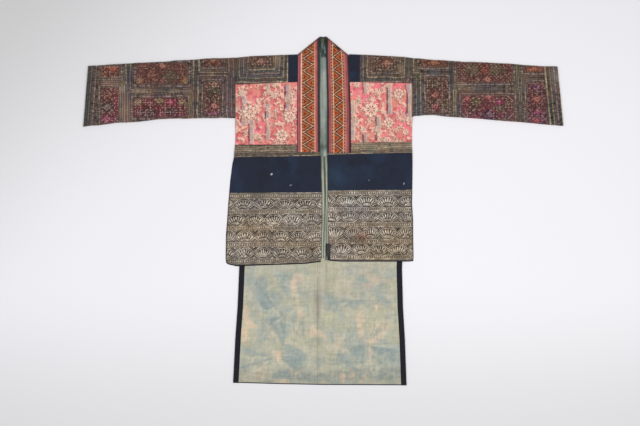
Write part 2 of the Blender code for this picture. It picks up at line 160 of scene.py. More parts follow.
# Seams across the fronts: y at the side and at the centre.
SEAMS = {
    "r": {
        "block": (282, 290.2),
        "chest": (148, 148.2),
        "lapel_foot": (131, 131),
        "strip": (119.8, 123.2),
        "navy": (39.8, 41.8),
        "binding": (-118, -111.4),
        "hem": (-121, -114.2),
    },
    "l": {
        "block": (285.2, 289.2),
        "chest": (154.4, 150.8),
        "lapel_foot": (129.4, 129.4),
        "strip": (130.2, 125.8),
        "navy": (47.4, 45.4),
        "binding": (-108.4, -108.4),
        "hem": (-111.2, -111.2),
    },
}
SLEEVES = {
    "r": table(
        "along top bottom height",
        (0, 342, 207.4, 4.3),
        (0.16, 341.1, 207.4, 4.8),
        (0.37, 336.6, 206.6, 5.4),
        (0.48, 333.3, 205.2, 5.2),
        (0.59, 331.7, 200.7, 5.4),
        (0.81, 327.7, 195.4, 5.2),
        (1, 324.5, 187.6, 4.6),
    ),
    "l": table(
        "along top bottom height",
        (0, 341.6, 210.2, 4.3),
        (0.08, 339.1, 214.1, 4.8),
        (0.19, 336.6, 212.4, 5.2),
        (0.35, 333.3, 207.9, 5.4),
        (0.62, 329.9, 200, 5.2),
        (0.78, 325.4, 195.7, 5.2),
        (1, 322.3, 189.5, 4.6),
    ),
}
SLEEVE_RINGS = {
    "inner": {"r": (0, 0.23), "l": (0, 0.265)},
    "middle": {"r": (0.23, 0.70), "l": (0.265, 0.705)},
    "outer": {"r": (0.70, 0.917), "l": (0.705, 0.90)},
    "cuff": {"r": (0.917, 1), "l": (0.90, 1)},
}
CREASES = table(
    "x0 y0 x1 y1 half_width rise",
    (-180, -20, -95, -125, 16, 1.4),
    (-40, -30, -75, -125, 13, 1.1),
    (-150, 118, -120, 30, 15, 0.8),
    (60, -10, 95, -118, 15, 1.3),
    (165, 20, 150, -118, 14, 1.1),
    (120, 120, 90, 40, 16, 0.8),
    (-160, 260, -110, 160, 15, 0.9),
    (95, 270, 150, 165, 16, 0.9),
    (-120, -160, -165, -280, 15, 1.2),
    (-60, -170, -120, -330, 17, 1.4),
    (-25, -210, -55, -370, 13, 0.9),
    (60, -150, 45, -300, 16, 1.1),
    (130, -190, 95, -350, 16, 1.3),
    (-480, 300, -440, 205, 15, 0.6),
    (-390, 322, -330, 218, 18, 0.7),
    (-285, 330, -250, 225, 15, 0.7),
    (255, 330, 275, 220, 15, 0.7),
    (350, 322, 395, 214, 18, 0.7),
    (455, 312, 490, 205, 15, 0.6),
)


# ---- Small tools for shapes and dyes ----


def between(rows, column, by, at):
    """A table's column, read at values of another column."""
    return np.interp(at, rows[by], rows[column])


def rows_of(columns):
    """A table's rows, one after another."""
    return zip(*columns.values())


def edge_x(edges, side, y, which=""):
    """Where a table of edges lies at y, for one side of the jacket."""
    return between(edges, COLUMN[side] + which, "y", y)


def smooth(low, high, value):
    """0 below low, 1 above high and an S-curve from one to the other."""
    t = np.clip((value - low) / (high - low), 0, 1)
    return t * t * (3 - 2 * t)


def fade(low, high, value):
    """1 below low, 0 above high and an S-curve from one to the other."""
    return 1 - smooth(low, high, value)


def mix(a, b, t):
    return a + (b - a) * t


def within(value, low, high, soft=0.35):
    """1 where a value lies between two limits, with soft edges."""
    return smooth(low - soft, low + soft, value) * fade(high - soft, high + soft, value)


def blotches(x, y, size, seed):
    """Soft random blotches from 0 to 1, about size across. Each use has a seed of its own."""
    field = np.random.default_rng(seed).random((61, 61))
    u, v = x / size + 211.3, y / size + 187.7
    i, j = np.floor(u).astype(int), np.floor(v).astype(int)
    fu, fv = u - i, v - j
    fu, fv = fu * fu * (3 - 2 * fu), fv * fv * (3 - 2 * fv)
    i, j = i % 60, j % 60
    low = mix(field[i, j], field[i + 1, j], fu)
    high = mix(field[i, j + 1], field[i + 1, j + 1], fu)
    return mix(low, high, fv)


def clouds(x, y, size, seed):
    """Blotches of three sizes together, from 0 to 1."""
    large = blotches(x, y, size, seed)
    middle = blotches(x + 0.3 * y, y - 0.3 * x, size * 0.47, seed + 1)
    small = blotches(x - 0.4 * y, y + 0.4 * x, size * 0.21, seed + 2)
    return 0.55 * large + 0.3 * middle + 0.15 * small


def dye(red, green, blue):
    """A colour as the eye names it, 0 to 255, turned into the light it reflects."""
    value = np.array((red, green, blue), dtype=float) / 255
    return np.where(value <= 0.04045, value / 12.92, ((value + 0.055) / 1.055) ** 2.4)


def ground(x, colour):
    return np.broadcast_to(colour, (*np.shape(x), 3)).copy()


def over(paint, colour, mask):
    """Lay a colour over the paint where the mask is 1."""
    return paint + (colour - paint) * np.clip(mask, 0, 1)[..., None]


def shade(paint, factor):
    return paint * factor[..., None]


def toned(paint, x, y, tints):
    """The paint made lighter, darker or of another hue about the places in a table."""
    for tint_x, tint_y, reach, *factors in rows_of(tints):
        near = spot(x, y, tint_x, tint_y, reach, 0.6 * reach)
        paint = paint * (1 + (np.array(factors) - 1) * near[..., None])
    return paint


def bell(value, middle, half):
    """1 at the middle, fading to either side."""
    return np.exp(-(((value - middle) / half) ** 2))


def spot(x, y, place_x, place_y, half_width, half_height):
    """1 at a place, fading all round it."""
    return np.exp(-(((x - place_x) / half_width) ** 2 + ((y - place_y) / half_height) ** 2))


def ripple(value, pitch):
    return np.cos(2 * math.pi * value / pitch)


def drift(reach, x, y, size, seed, kind=blotches):
    """Soft random shifts, up to half the reach to either side."""
    return reach * (kind(x, y, size, seed) - 0.5)


def clouded(paint, x, y, colour, share, low, high, size, seed):
    """Lay a colour over the paint in soft clouds, which begin at low and are full at high."""
    return over(paint, colour, share * smooth(low, high, clouds(x, y, size, seed)))


def crease_rise(x, y):
    """How far the soft creases lift the cloth."""
    rise = np.zeros(np.broadcast(x, y).shape)
    for x0, y0, x1, y1, half_width, height in rows_of(CREASES):
        dx, dy = x1 - x0, y1 - y0
        t = ((x - x0) * dx + (y - y0) * dy) / (dx * dx + dy * dy)
        near = np.clip(t, 0, 1)
        away = np.hypot(x - x0 - near * dx, y - y0 - near * dy) / half_width
        ends = np.sin(math.pi * np.clip(0.08 + 0.84 * t, 0, 1))
        rise += height * np.exp(-away * away) * ends
    return rise


def cockle(x, y):
    """The slight unevenness of handled cloth."""
    return drift(0.42, x, y, 34, 3, clouds)


def inside_back(x, y):
    """How far a point lies inside the back's edge, negative where it hangs over."""
    edge = np.where(x < 0, edge_x(BACK_EDGES, "r", y), edge_x(BACK_EDGES, "l", y))
    return np.abs(edge) - np.abs(x)


def front_top(x, y):
    """The upper face of a front: over the back's layers, and down at its side edge."""
    inside = inside_back(x, y)
    over_slit = mix(ON_TABLE, FRONT_BOTTOM, smooth(*OVERHANG, inside))
    at_side_seam = mix(CLOTH + SEAM_GAP, FRONT_BOTTOM, smooth(*SIDE_SEAM, inside))
    height = mix(over_slit, at_side_seam, smooth(*SLIT_TO_SEAM, y))
    height = mix(height, FRONT_BOTTOM, smooth(*SEAM_TO_ARMHOLE, y))
    settle = smooth(-12, 26, inside)
    return height + CLOTH + settle * crease_rise(x, y)


def lining_lift(x, y):
    """The lining's creases, which fade out under the fronts."""
    return smooth(12, 40, FRONTS_END - y) * crease_rise(x, y)


def across_front(x):
    """A place on a front, from 0 near the opening to 1 near the side seam."""
    return (np.abs(x) - 5) / 195


def seam_y(side, seam, x):
    """Where a front's seam lies at x. The hem hangs a little and is rounded at both its corners."""
    at_side, at_centre = SEAMS[side][seam]
    share = across_front(x)
    height = mix(at_centre, at_side, share)
    if seam not in ("hem", "binding"):
        return height
    sag = HEM_SAG[side] * smooth(-0.02, 0.2, share) * smooth(-0.02, 0.07, 1.03 - share)
    corner = 5 * np.clip((np.abs(x) - 207.5) / 10, 0, 1.1) ** 1.6 * (side == "r")
    return height + corner - sag


# ---- Making a piece of cloth ----


def spaced(length, pitch, edge=(0, 0.7, 1.6, 3)):
    """Shares from 0 to 1 along a length: an even pitch, and closer rows at both ends."""
    inner = np.linspace(edge[-1], length - edge[-1], max(2, round(length / pitch)))
    places = np.concatenate((edge[:-1], inner, length - np.array(edge[:-1])[::-1]))
    return places / length


def normals_of(points, wrap):
    """Unit normals of a grid of points, by rows along and columns across."""
    along = np.gradient(points, axis=0)
    if wrap:
        across = np.roll(points, -1, axis=1) - np.roll(points, 1, axis=1)
    else:
        across = np.gradient(points, axis=1)
    normal = np.cross(across, along)
    return normal / np.maximum(np.linalg.norm(normal, axis=2, keepdims=True), 1e-9)


def coarse_steps(count, step):
    """Every step-th index from 0 to count - 1, ending on the last."""
    picks = list(range(0, count - 1, step))
    return picks + [count - 1]


def lower_faces(rows, columns, step, wrap, lower):
    """Large faces for the hidden side of a wall, which meet every point of the open edges."""
    faces = []
    row_picks = coarse_steps(rows, step)
    column_picks = coarse_steps(columns + 1 if wrap else columns, step)
    for r0, r1 in zip(row_picks, row_picks[1:]):
        for c0, c1 in zip(column_picks, column_picks[1:]):
            near = range(c0, c1) if r0 == 0 else (c0,)
            right = range(r0, r1) if c1 == columns - 1 and not wrap else (r0,)
            far = range(c1, c0, -1) if r1 == rows - 1 else (c1,)
            left = range(r1, r0, -1) if c0 == 0 and not wrap else (r1,)
            ring = [(r0, c) for c in near] + [(r, c1) for r in right]
            ring += [(r1, c) for c in far] + [(r, c0) for r in left]
            faces.append([lower[r, c % columns] for r, c in ring][::-1])
    return faces


def wall_mesh(name, points, beneath, step, wrap, threads):
    """A closed wall between two grids of points: fine above, with large faces beneath and threads sewn on."""
    rows, columns = points.shape[:2]
    upper = np.arange(rows * columns).reshape(rows, columns)
    row_on = np.zeros(rows, bool)
    row_on[coarse_steps(rows, step)] = True
    column_on = np.zeros(columns + 1, bool)
    column_on[coarse_steps(columns + 1 if wrap else columns, step)] = True
    kept = row_on[:, None] & column_on[None, :columns]
    kept[[0, -1], :] = True
    if not wrap:
        kept[:, [0, -1]] = True
    lower = np.full((rows, columns), -1)
    lower[kept] = rows * columns + np.arange(kept.sum())
    vertices = np.concatenate((points.reshape(-1, 3), beneath[kept]))
    left = upper if wrap else upper[:, :-1]
    right = np.roll(upper, -1, axis=1) if wrap else upper[:, 1:]
    quads = np.stack((left[:-1], right[:-1], right[1:], left[1:]), axis=2)
    faces = quads.reshape(-1, 4).tolist()
    faces += lower_faces(rows, columns, step, wrap, lower)
    edge_left = left[0] % columns
    edge_right = right[0] % columns
    for row, flip in ((0, False), (rows - 1, True)):
        for c0, c1 in zip(edge_left, edge_right):
            rim = [upper[row, c0], lower[row, c0], lower[row, c1], upper[row, c1]]
            faces.append(rim[::-1] if flip else rim)
    if not wrap:
        for column, flip in ((0, True), (columns - 1, False)):
            for r in range(rows - 1):
                rim = [upper[r, column], lower[r, column], lower[r + 1, column], upper[r + 1, column]]
                faces.append(rim[::-1] if flip else rim)
    for corners in THREAD_FACES:
        first = len(vertices) + np.arange(0, len(threads), THREAD_POINTS)[:, None]
        faces += (first + np.array(corners)).tolist()
    mesh = bpy.data.meshes.new(name)
    mesh.from_pydata((np.concatenate((vertices, threads)) * MM).tolist(), [], faces)
    mesh.validate()
    mesh.shade_smooth()
    mesh.set_sharp_from_angle(angle=math.radians(55))
    return mesh, kept


BARE = 0.075  # a stitch whose three dyes add up to less is left out, and the dark cloth shows
# A sewn thread's points: the four corners of its foot, then the two ends of its ridge; and its faces.
THREAD_POINTS = 6
THREAD_FACES = ((3, 2, 1, 0), (0, 1, 5, 4), (2, 3, 4, 5), (1, 2, 5), (3, 0, 4))
THREAD_FOOT = (1.3, 0.42, -0.1)  # half its length, half its width and how high it lies
THREAD_RIDGE = (0.75, 0, 0.3)


def cross_shape():
    """The points of a cross's two threads: steps from its middle, and heights over the cloth."""
    points = []
    for turn in (1, -1):
        for along, across in ((-1, -1), (1, -1), (1, 1), (-1, 1), (-1, 0), (1, 0)):
            length, width, height = THREAD_FOOT if across else THREAD_RIDGE
            a, b = along * length * math.sqrt(0.5), across * width * math.sqrt(0.5)
            points.append((a - turn * b, turn * a + b, height + 0.05 * turn * (not across)))
    return np.array(points).T


def cross_stitches(side, surface, wrap):
    """The crosses over a patch's fields, each of two short threads: their points and their colours."""
    rows, columns = surface.shape[:2]
    places = np.arange(rows * columns).reshape(rows, columns)
    left, right = (places, np.roll(places, -1, axis=1)) if wrap else (places[:, :-1], places[:, 1:])
    quads = np.stack((left[:-1], right[:-1], right[1:], left[1:]), axis=2).reshape(-1, 4)
    cloth = BVHTree.FromPolygons(surface.reshape(-1, 3).tolist(), quads.tolist())
    feet, shades = [], []
    for field in rows_of(FIELDS[side]):
        x0, x1, y0, y1 = field[:4]
        half_x = int((x1 - x0) / (2 * STITCH) - 0.4)
        half_y = int((y1 - y0) / (2 * STITCH) - 0.4)
        x, y = np.meshgrid(np.arange(-half_x, half_x + 1), np.arange(-half_y, half_y + 1))
        x = x.ravel() * STITCH + 0.5 * (x0 + x1)
        y = y.ravel() * STITCH + 0.5 * (y0 + y1)
        for shade_here, stitch_x, stitch_y in zip(lattice_dye(x, y, field), x, y):
            if shade_here.sum() < BARE:
                continue
            met, normal = cloth.ray_cast((stitch_x, stitch_y, 40), (0, 0, -1))[:2]
            if met is not None and normal[2] > 0.8:
                feet.append((*met, -normal[0] / normal[2], -normal[1] / normal[2]))
                shades.append(shade_here)
    feet = np.array(feet)[:, None, :]
    dx, dy, rise = cross_shape()
    z = feet[..., 2] + feet[..., 3] * dx + feet[..., 4] * dy + rise
    points = np.stack((feet[..., 0] + dx, feet[..., 1] + dy, z), axis=2)
    return points.reshape(-1, 3), np.repeat(np.array(shades), len(dx), axis=0)


def edge_distance(points, wrap):
    """How far each point lies from the piece's edges, along the cloth."""
    step_along = np.linalg.norm(np.diff(points, axis=0), axis=2)
    from_start = np.concatenate((np.zeros((1, points.shape[1])), np.cumsum(step_along, axis=0)))
    distance = np.minimum(from_start, from_start[-1] - from_start)
    if wrap:
        return distance
    step_across = np.linalg.norm(np.diff(points, axis=1), axis=2)
    from_side = np.concatenate((np.zeros((points.shape[0], 1)), np.cumsum(step_across, axis=1)), axis=1)
    return np.minimum(distance, np.minimum(from_side, from_side[:, -1:] - from_side))


def make_cloth(name, shape, across, along, wall, paint, finish, flat, roll=0.35,
               step=6, wrap=False, inner=None, sewn=None):
    """One piece of cloth. shape(u, v) lays it out, paint(x, y, u, v) gives its dye, relief and strands."""
    u, v = np.meshgrid(across, along)
    if wrap:
        u, v = u[:, :-1], v[:, :-1]
    points = np.stack(np.broadcast_arrays(*shape(u, v)), axis=2).astype(float)
    normal = normals_of(points, wrap)
    if normal[points[..., 2] > points[..., 2].max() - 1][:, 2].mean() < 0:
        points, u, v = points[:, ::-1], u[:, ::-1], v[:, ::-1]
        normal = normals_of(points, wrap)
    x, y = points[..., 0], points[..., 1]
    colour, relief, *strands = paint(x, y, u, v)
    facing_up = smooth(0.2, 0.8, normal[..., 2])
    inward = edge_distance(points, wrap)
    sunk = roll * np.exp(-inward / 1.1)
    lift = facing_up * (relief + cockle(x, y) * smooth(0, 9, inward) - sunk)
    top = points + lift[..., None] * normal
    threads = thread_dye = np.zeros((0, 3))
    if sewn:
        threads, thread_dye = cross_stitches(sewn, top, wrap)
    mesh, kept = wall_mesh(name, top, points - wall * normal, step, wrap, threads)
    layer = mesh.color_attributes.new("dye", "FLOAT_COLOR", "POINT")
    inside = colour[kept] * 0.8 if inner is None else ground(x[kept], inner)
    shades = np.concatenate((colour.reshape(-1, 3), inside, thread_dye))
    layer.data.foreach_set("color", np.c_[shades, np.ones(len(shades))].ravel())
    if strands:
        laid = np.stack(np.broadcast_arrays(*strands[0]), axis=2)
        laid = np.concatenate((laid.reshape(-1, 3), laid[kept], 0 * threads))
        layer = mesh.attributes.new("strand", "FLOAT_VECTOR", "POINT")
        layer.data.foreach_set("vector", laid.ravel())
    material, slot = finish
    mesh.materials.append(material)
    piece = bpy.data.objects.new(name + "_cloth", mesh)
    bpy.context.scene.collection.objects.link(piece)
    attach(piece, "root")
    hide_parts(name)
    flat[0] * MM
    flat[1] * MM


# ---- Finishes ----


class Shade:
    """A shader value: sums and products of it add the nodes that work them out."""

    tree = None

    def __init__(self, socket):
        self.socket = socket

    @classmethod
    def feed(cls, node, **inputs):
        """Give a node's inputs their numbers, or link them to the values that they follow."""
        for name, value in inputs.items():
            name = name.replace("_", " ")
            socket = node.inputs[int(name[2:])] if name.startswith("in") else node.inputs[name]
            if isinstance(value, Shade):
                cls.tree.links.new(socket, value.socket)
            else:
                socket.default_value = value

    @classmethod
    def node(cls, kind, output=0, settings=None, **inputs):
        made = cls.tree.nodes.new("ShaderNode" + kind)
        for name, value in (settings or {}).items():
            setattr(made, name, value)
        cls.feed(made, **inputs)
        return cls(made.outputs[output])

    def beside(self, output):
        """Another output of the node that gives this value."""
        return Shade(self.socket.node.outputs[output])

    def maths(self, operation, other=0.0, turned=False):
        first, second = (other, self) if turned else (self, other)
        return Shade.node("Math", settings={"operation": operation}, in0=first, in1=second)

    def __add__(self, other):
        return self.maths("ADD", other)

    def __sub__(self, other):
        return self.maths("SUBTRACT", other)

    def __rsub__(self, other):
        return self.maths("SUBTRACT", other, turned=True)

    def __mul__(self, other):
        return self.maths("MULTIPLY", other)

    __radd__ = __add__
    __rmul__ = __mul__

    def cosine(self):
        return self.maths("COSINE")

    def tinted(self, factor):
        """This colour times a factor."""
        return Shade.node("VectorMath", settings={"operation": "SCALE"}, Vector=self, Scale=factor)


def mottle(place, size):
    """Soft noise around 0, about size across in millimetres."""
    noise = Shade.node("TexNoise", Vector=place, Scale=1.0 / size, Detail=2.0, Roughness=0.6)
    return noise - 0.5


def new_finish(name):
    """A material and its shader, for which the next values are made."""
    finish = bpy.data.materials.new(name)
    finish.use_nodes = True
    Shade.tree = finish.node_tree
    return finish, finish.node_tree.nodes["Principled BSDF"]


def woven(name, slot, roughness, thread, weave_depth, weave_shade, patchy=0.1, slub=0.0, sheen=0.0,
          couched=0.0):
    """A cloth's material and slot: its dye, with painted highlight and shade on the weave's threads and the
    couched cords, uneven dyeing and slubs over it.
    """
    finish, shader = new_finish(name)
    Shade.feed(shader, Sheen_Weight=sheen, Sheen_Roughness=0.5, Specular_IOR_Level=0.25)
    ground_place = Shade.node("TexCoord", output="Object")
    place = Shade.node("VectorMath", settings={"operation": "SCALE"}, Vector=ground_place, Scale=1000.0)
    split = Shade.node("SeparateXYZ", Vector=place)
    x, y = split, split.beside("Y")
    wander = mottle(place, 4.0)
    warp = (x * (2.0 * math.pi / thread) + wander * 3.0).cosine()
    weft = (y * (2.0 * math.pi / thread) - wander * 3.0).cosine()
    weave = warp * weft
    streak_place = Shade.node("VectorMath", settings={"operation": "MULTIPLY"}, Vector=place,
                              in1=(0.07, 1.5, 1.0))
    slubs = mottle(streak_place, 1.0)
    # Painted highlight and shade that follow the weave's threads, with uneven dyeing.
    shades = 1.0 + weave * weave_shade + mottle(place, 1.1) * patchy * 1.4 + mottle(place, 9.0) * patchy
    shades = shades + slubs * slub
    height = weave * weave_depth + slubs * slub * 0.5
    if couched:
        strand = Shade.node("Attribute", output="Vector", settings={"attribute_name": "strand"})
        parts = Shade.node("SeparateXYZ", Vector=strand)
        across, along, share = parts, parts.beside("Y"), parts.beside("Z")
        cord = (across * (2.0 * math.pi)).cosine()
        cord = cord * 1.2 - cord * cord * cord * 0.2
        twist = (along * 3.0 + across * 3.2).cosine()
        # Painted highlight along each couched cord's crest and painted shade between the cords, with their
        # twist.
        shades = shades + share * (cord * couched + twist * 0.14)
        height = height + share * (cord * 1.2 + twist * 0.4)
    dyed = Shade.node("Attribute", output="Color", settings={"attribute_name": "dye"})
    tint = dyed.tinted(shades)
    rough = roughness + mottle(place, 3.0) * 0.16
    bump = Shade.node("Bump", Height=height, Strength=0.6, Distance=0.0004)
    Shade.feed(shader, Base_Color=tint, Roughness=rough, Normal=bump)
    return finish, slot


navy_hemp = woven("indigo_hemp", "navy_cloth", 0.72, 0.62, 0.5, 0.10, patchy=0.22, sheen=0.08)
black_cotton = woven("near_black_cotton", "edge_binding", 0.78, 0.5, 0.4, 0.08, patchy=0.15, sheen=0.08)
batik_hemp = woven("batik_hemp", "batik_cloth", 0.82, 0.7, 0.5, 0.10, patchy=0.25, couched=0.3)
patchwork = woven("thread_covered_patchwork", "patchwork_cloth", 0.7, 0.55, 0.5, 0.10, patchy=0.3,
                  sheen=0.05, couched=0.35)
coral_cotton = woven("printed_coral_cotton", "printed_cotton", 0.75, 0.42, 0.3, 0.05, patchy=0.08, sheen=0.1)
ribbon_weave = woven("woven_ribbon", "woven_ribbon", 0.55, 0.5, 0.6, 0.14, patchy=0.12, sheen=0.15)
pale_cotton = woven("pale_lining_cotton", "pale_lining", 0.85, 0.5, 0.4, 0.05, patchy=0.08, slub=0.12)
dark_cotton = woven("dark_collar_lining", "collar_lining", 0.8, 0.5, 0.4, 0.08, patchy=0.2)


# ---- The patterns ----

LIGHT, TAN, DUSTY = dye(150, 133, 112), dye(130, 113, 96), dye(116, 97, 92)
OLIVE, BROWN, SOOT = dye(116, 107, 85), dye(83, 70, 61), dye(64, 58, 54)
VIOLET_GREY, SLATE = dye(76, 67, 74), dye(69, 69, 65)
# The couched threads outward from a field, a dark one and a light one in turn.
RING_THREADS = np.array((BROWN, DUSTY, BROWN, TAN, SLATE, DUSTY, VIOLET_GREY, OLIVE, SOOT, LIGHT, BROWN, TAN))
RING_PITCH = 4.8  # from one couched line of the patchwork's frames to the next


def picked(index, seed):
    """A steady random number from 0 to 1 for each whole number."""
    mixed = np.sin(np.asarray(index, float) * 12.9898 + seed * 78.233) * 43758.5453
    return mixed - np.floor(mixed)


def ring_dye(distance, start, along):
    """The couched lines around a field, by their distance from it."""
    ring = np.floor(distance / RING_PITCH + 0.5).astype(int)
    turn = (ring + start) % len(RING_THREADS)
    worn = 1 + drift(0.4, along, ring * 37, 9, 5) + drift(0.7, along, ring * 29, 3, 6)
    grain = picked(np.floor(along / 2.3) * 3.1 + ring * 17, 6) - 0.5
    return np.clip(RING_THREADS[turn] * (worn + 0.9 * grain)[..., None] + 0.04 * grain[..., None], 0.01, 1)


def plain_relief(x):
    return np.zeros(np.shape(x))


def navy_dye(x, y, u, v):
    """Indigo with soft lighter and darker clouds and a few pale specks."""
    paint = ground(x, dye(27, 33, 51))
    paint = clouded(paint, x, y, dye(30, 45, 68), 0.75, 0.5, 0.85, 60, 21)
    paint = clouded(paint, x, y, dye(24, 26, 40), 0.7, 0.5, 0.8, 26, 27)
    paint = over(paint, dye(38, 62, 84), 0.6 * np.exp(-((x - 27) ** 2 + (y - 79) ** 2) / 500))
    relief = plain_relief(x)
    for speck_x, speck_y, radius, share in rows_of(SPECKS):
        speck = share * fade(0.5 * radius, radius, np.hypot(x - speck_x, y - speck_y))
        paint = over(paint, dye(214, 220, 226), speck)
        relief = relief + 0.5 * speck
    return paint, relief


SPECKS = table(
    "x y radius share",
    (-115.6, 81.8, 2.1, 1),
    (-72.8, 57.6, 1.9, 0.45),
    (179.9, 60.9, 1.9, 0.6),
    (101.9, 68.3, 1.8, 0.3),
)


def black_dye(x, y, u, v):
    return over(ground(x, dye(15, 15, 25)), dye(28, 28, 38), 0.5 * clouds(x, y, 18, 33)), plain_relief(x)


# Patches of undyed peach (1) and of deeper blue (-1) on the lining.
STAINS = table(
    "x y half_width half_height share",
    (-103, -326, 9, 15, 1),
    (-110, -322, 20, 11, 0.3),
    (-144, -356, 17, 20, 0.35),
    (-65, -166, 7, 28, 0.85),
    (-52, -150, 13, 16, 0.5),
    (-170, -262, 11, 42, 0.8),
    (-176, -228, 8, 22, 0.7),
    (-120, -214, 4, 7, 0.8),
    (-18, -273, 15, 20, 0.75),
    (28, -290, 11, 24, 0.3),
    (47, -157, 22, 26, 0.22),
    (82, -258, 12, 30, 0.7),
    (104, -316, 5.5, 26, 1),
    (128, -262, 22, 24, 0.75),
    (112, -290, 26, 12, 0.55),
    (118.5, -218, 4.5, 8, 1),
    (83, -211, 4.5, 10, 1),
    (43, -373, 8, 14, 0.9),
    (64, -369, 6, 16, 0.6),
    (91, -378, 6, 12, 0.8),
    (112, -376, 14, 10, 0.6),
    (-80, -350, 10, 18, 0.5),
    (-88, -384, 9, 10, 0.8),
    (-52, -236, 12, 9, 0.4),
    (-92, -362, 24, 12, -0.9),
    (-48, -368, 34, 10, -0.6),
    (-10, -366, 20, 10, -0.6),
    (-178, -358, 16, 12, -0.6),
    (164, -308, 14, 14, -0.8),
    (108, -360, 18, 12, -0.5),
    (-172, -344, 18, 12, -0.8),
    (128, -314, 40, 26, -0.7),
    (-109, -276, 14, 16, 0.5),
    (-56, -230, 10, 28, 0.35),
    (-2, -276, 14, 14, 0.4),
    (-4, -330, 18, 12, -0.5),
    (-83, -357, 16, 12, -0.7),
    (-56, -357, 8, 10, 0.35),
    (-29, -365, 22, 18, -0.45),
    (78, -344, 10, 14, 0.35),
    (-83, -142, 22, 12, -0.45),
    (51, -142, 14, 12, -0.5),
    (-83, -223, 10, 12, -0.5),
    (105, -223, 12, 12, -0.35),
    (105, -169, 14, 12, 0.35),
    (-56, -196, 8, 12, 0.35),
    (78, -196, 10, 12, 0.3),
    (-138, -160, 15, 24, -0.7),
    (-112, -210, 14, 34, -0.7),
    (-90, -280, 9, 36, -0.85),
    (-87, -170, 9, 40, -0.65),
    (-66, -330, 26, 24, -0.9),
    (-140, -334, 28, 12, -0.7),
    (-170, -310, 14, 18, -0.55),
    (-128, -256, 14, 26, -0.15),
    (-60, -250, 24, 14, -0.2),
    (-40, -376, 26, 12, -0.5),
    (20, -200, 20, 22, -0.55),
    (62, -208, 44, 12, -0.75),
    (134, -206, 30, 12, -0.55),
    (78, -318, 18, 20, -0.75),
    (40, -330, 22, 20, -0.65),
    (142, -324, 24, 24, -0.75),
    (112, -170, 26, 12, -0.4),
    (96, -150, 16, 10, -0.4),
)
# Where the dyer tied the cloth: folds fan out from each place, as far as its reach, about its aim.
TIES = table(
    "x y reach aim spread",
    (-101, -325, 92, 3.45, 0.5),
    (-101, -325, 50, 0.1, 0.5),
    (-91, -302, 150, 1.97, 0.16),
    (-91, -302, 70, 1.6, 0.2),
    (-104, -210, 46, 4.3, 1.1),
    (-128, -172, 44, 5.2, 0.5),
    (-84, -236, 56, 3.4, 0.4),
    (-36, -300, 60, 2.1, 0.4),
    (-60, -340, 60, 5, 0.6),
    (18, -262, 46, 4.9, 0.5),
    (40, -300, 56, 0.9, 0.5),
    (92, -302, 84, 5.9, 0.45),
    (104, -290, 60, 1, 0.4),
    (104, -334, 46, 4.7, 0.5),
    (62, -364, 46, 2.6, 0.6),
    (120, -352, 60, 5.7, 0.5),
    (84, -196, 60, 3.3, 0.3),
    (126, -206, 44, 6, 0.4),
)
# Wedges the folds kept blue (above 0) or pale (below 0), from their tips.
WEDGES = table(
    "x y reach aim spread share",
    (-89, -303, 175, 1.97, 0.13, 0.75),
    (-88, -298, 90, 1.62, 0.16, 0.5),
    (-101, -326, 100, 3.62, 0.16, -0.45),
    (-101, -326, 100, 3.3, 0.1, -0.5),
    (-101, -322, 100, 3.05, 0.12, 0.35),
    (-98, -330, 70, 6.1, 0.5, 0.6),
    (-104, -208, 56, 4.25, 0.3, -0.5),
    (-84, -236, 60, 3.3, 0.2, 0.5),
    (98, -298, 90, 5.85, 0.22, 0.6),
    (98, -300, 90, 6.2, 0.1, -0.4),
    (92, -296, 40, 3.9, 0.5, 0.5),
    (30, -310, 70, 5.3, 0.3, 0.45),
    (22, -200, 90, 6.2, 0.14, 0.5),
    (60, -345, 60, 5.6, 0.3, 0.4),
    (160, -350, 80, 3.7, 0.2, 0.45),
)
# Fold lines left by the dyer's tying, light (1) or dark (-1).
TIE_LINES = table(
    "x0 y0 x1 y1 share",
    (-182, -330, -112, -329, 0.8),
    (-150, -152, -92, -240, -0.5),
    (-118, -206, -90, -252, 0.6),
    (-138, -216, -96, -232, 0.4),
    (-134, -238, -100, -238, -0.4),
    (-110, -238, -88, -300, -0.6),
    (-90, -304, -26, -316, -0.5),
    (-52, -250, -36, -296, -0.45),
    (-88, -232, -20, -240, -0.35),
    (14, -200, 96, -206, -0.4),
    (104, -292, 104, -346, 0.5),
    (60, -340, 98, -300, -0.4),
    (-150, -300, -118, -256, 0.4),
    (20, -290, 36, -240, 0.35),
    (66, -362, 96, -388, -0.35),
    (120, -330, 160, -300, -0.4),
)


# Lighter and darker stretches of the lining where it shows between the fronts.
GAP_TONES = table(
    "y reach red green blue share",
    (250, 32, 158, 168, 156, 0.5),
    (170, 15, 92, 100, 90, 0.55),
    (143, 8, 62, 68, 64, 0.7),
    (108, 11, 156, 160, 148, 0.8),
    (66, 14, 92, 96, 94, 0.4),
)


LINING_TINTS = table(
    "x y reach red green blue",
    (-96, -278, 26, 1.17, 1.12, 1.09),
    (-56, -222, 18, 1.16, 1.13, 1.16),
    (-6, -194, 22, 0.8, 0.85, 0.93),
    (-4, -332, 24, 0.9, 0.91, 0.94),
    (-4, -240, 30, 1.08, 1.06, 1.05),
    (-56, -320, 30, 1.08, 1.06, 1.05),
    (-83, -223, 14, 0.94, 0.98, 1.03),
    (-100, -357, 24, 0.92, 0.95, 0.99),
    (159, -303, 20, 0.89, 0.93, 0.97),
    (119, -330, 20, 0.91, 0.93, 0.94),
    (92, -303, 16, 0.92, 0.94, 0.95),
    (-96, -142, 30, 0.93, 0.97, 1.04),
    (51, -169, 18, 0.94, 0.98, 1.01),
    (145, -276, 24, 0.93, 0.98, 1),
    (78, -332, 14, 1.08, 1.04, 0.98),
    (20, -262, 30, 1.05, 1.04, 1.03),
    (-130, -160, 70, 1, 1, 1.04),
)


def off_aim(turn, aim):
    """How far a direction lies from an aim, whichever way is shorter."""
    return np.abs((turn - aim + math.pi) % (2 * math.pi) - math.pi)


